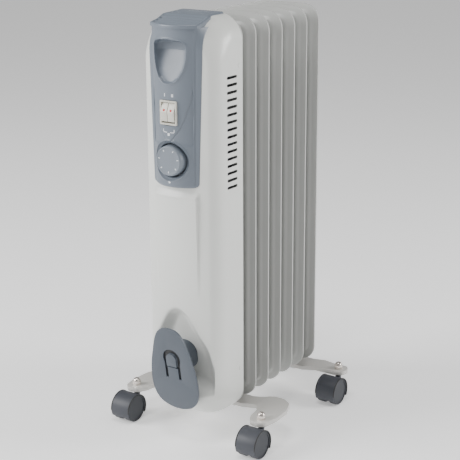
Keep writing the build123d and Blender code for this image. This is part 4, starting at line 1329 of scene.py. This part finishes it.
# %% Ticks on the dial
TICKS, FIRST_TICK, TICK_SWEEP = 7, -240, 300
TICK_R = 16.0
bpy.context.view_layer.update()
ticks = []
for tick in range(TICKS):
    angle = math.radians(FIRST_TICK + TICK_SWEEP * tick / (TICKS - 1))
    ticks.append(bar_mark(knob, TICK_R * math.cos(angle), DIAL_Z + TICK_R * math.sin(angle),
                          2.8, 1.1, angle))
joined("dial_ticks", ticks, "dial", "dial_plastic")

# %% Signs round the switch
SIGN_ABOVE = SWITCH_Z + 24.5
signs = [bar_mark(panel, 0, FOOT + 357.5, 3.4, 3.4, sides=20)]
for x in (-6.0, 6.0, 7.8):
    signs.append(bar_mark(panel, x, SIGN_ABOVE, 1.1, 4.4))
for x in (-9.0, 9.0):
    signs.append(bar_mark(panel, x, SWITCH_Z - 25.0, 1.0, 4.0))
    signs.append(bar_mark(panel, x * 0.62, SWITCH_Z - 27.5, 6.0, 0.9))
signs.append(bar_mark(panel, 0, SWITCH_Z - 30.5, 3.6, 3.6))
joined("panel_print", signs, HEATER, "panel_plastic")

# %% [markdown]
# ## The stage
#
# The heater stands on a pale seamless floor under soft light: a bright even
# surround, one large soft lamp high on the left and in front, a weaker one on
# the right that keeps the side from going dark, and a small one over the top.

# %% Floor
FLOOR_GLOW = 0.38


def pale_floor():
    deselect_all()
    bpy.ops.mesh.primitive_plane_add(size=30)
    floor = named("pale_floor")
    made, shader, where = new_material("pale floor")
    cloud = grain(where, 1.5, 2)
    feed(shader, Base_Color=tint(where, cloud, (0.93, 0.93, 0.93), (0.95, 0.95, 0.95)),
         Roughness=0.7 + 0.1 * cloud,
         Emission_Color=(1, 1, 1, 1),
         Emission_Strength=FLOOR_GLOW)
    paint(floor, made)
    print("the floor is", floor.dimensions.x, "m wide")


pale_floor()

# %% Surround and lamps
SURROUND_GLOW = 0.28
AIM = (0, 0, 0.33)


def soft_lamp(name, stands_at, size, power):
    """A square lamp that looks at the middle of the heater."""
    light = bpy.data.lights.new(name, "AREA")
    light.shape = "SQUARE"
    light.size = size
    light.energy = power
    lamp = bpy.data.objects.new(name, light)
    lamp.location = stands_at
    towards = Vector(AIM) - Vector(stands_at)
    lamp.rotation_euler = towards.to_track_quat("-Z", "Y").to_euler()
    bpy.context.collection.objects.link(lamp)
    print(name, "gives", power, "W")


surround = bpy.context.scene.world or bpy.data.worlds.new("surround")
bpy.context.scene.world = surround
surround.use_nodes = True
background = surround.node_tree.nodes["Background"].inputs
background["Color"].default_value = (1, 1, 1, 1)
background["Strength"].default_value = SURROUND_GLOW
soft_lamp("key lamp", (-1.7, -1.8, 1.5), 1.4, 80)
soft_lamp("side lamp", (2.1, 1.1, 1.2), 1.0, 46)
soft_lamp("top lamp", (0.2, -0.7, 2.6), 0.7, 22)

# %% [markdown]
# ## The camera
#
# A long lens from a few steps away, a little above the heater and to its right,
# keeps the fins nearly parallel. The camera's three axes are worked out from its
# azimuth, elevation and a slight roll.

# %% Camera
AZIMUTH, ELEVATION, ROLL = 34.263, 16.497, -0.341
EYE = (1.03645, -1.52110, 0.84331)
LENS = 98.98
SENSOR = 36.0


def aimed_camera():
    """A camera at EYE that looks back along its azimuth and elevation."""
    data = bpy.data.cameras.new("camera")
    data.lens = LENS
    data.sensor_width = SENSOR
    camera = bpy.data.objects.new("camera", data)
    bpy.context.collection.objects.link(camera)
    a, e, r = math.radians(AZIMUTH), math.radians(ELEVATION), math.radians(ROLL)
    back = Vector((math.sin(a) * math.cos(e), -math.cos(a) * math.cos(e), math.sin(e)))
    right = Vector((math.cos(a), math.sin(a), 0))
    up = back.cross(right)
    turned_right = right * math.cos(r) + up * math.sin(r)
    turned_up = up * math.cos(r) - right * math.sin(r)
    camera.matrix_world = Matrix((
        (turned_right.x, turned_up.x, back.x, EYE[0]),
        (turned_right.y, turned_up.y, back.y, EYE[1]),
        (turned_right.z, turned_up.z, back.z, EYE[2]),
        (0, 0, 0, 1)))
    bpy.context.scene.camera = camera
    print("the camera looks through a", LENS, "mm lens")


aimed_camera()
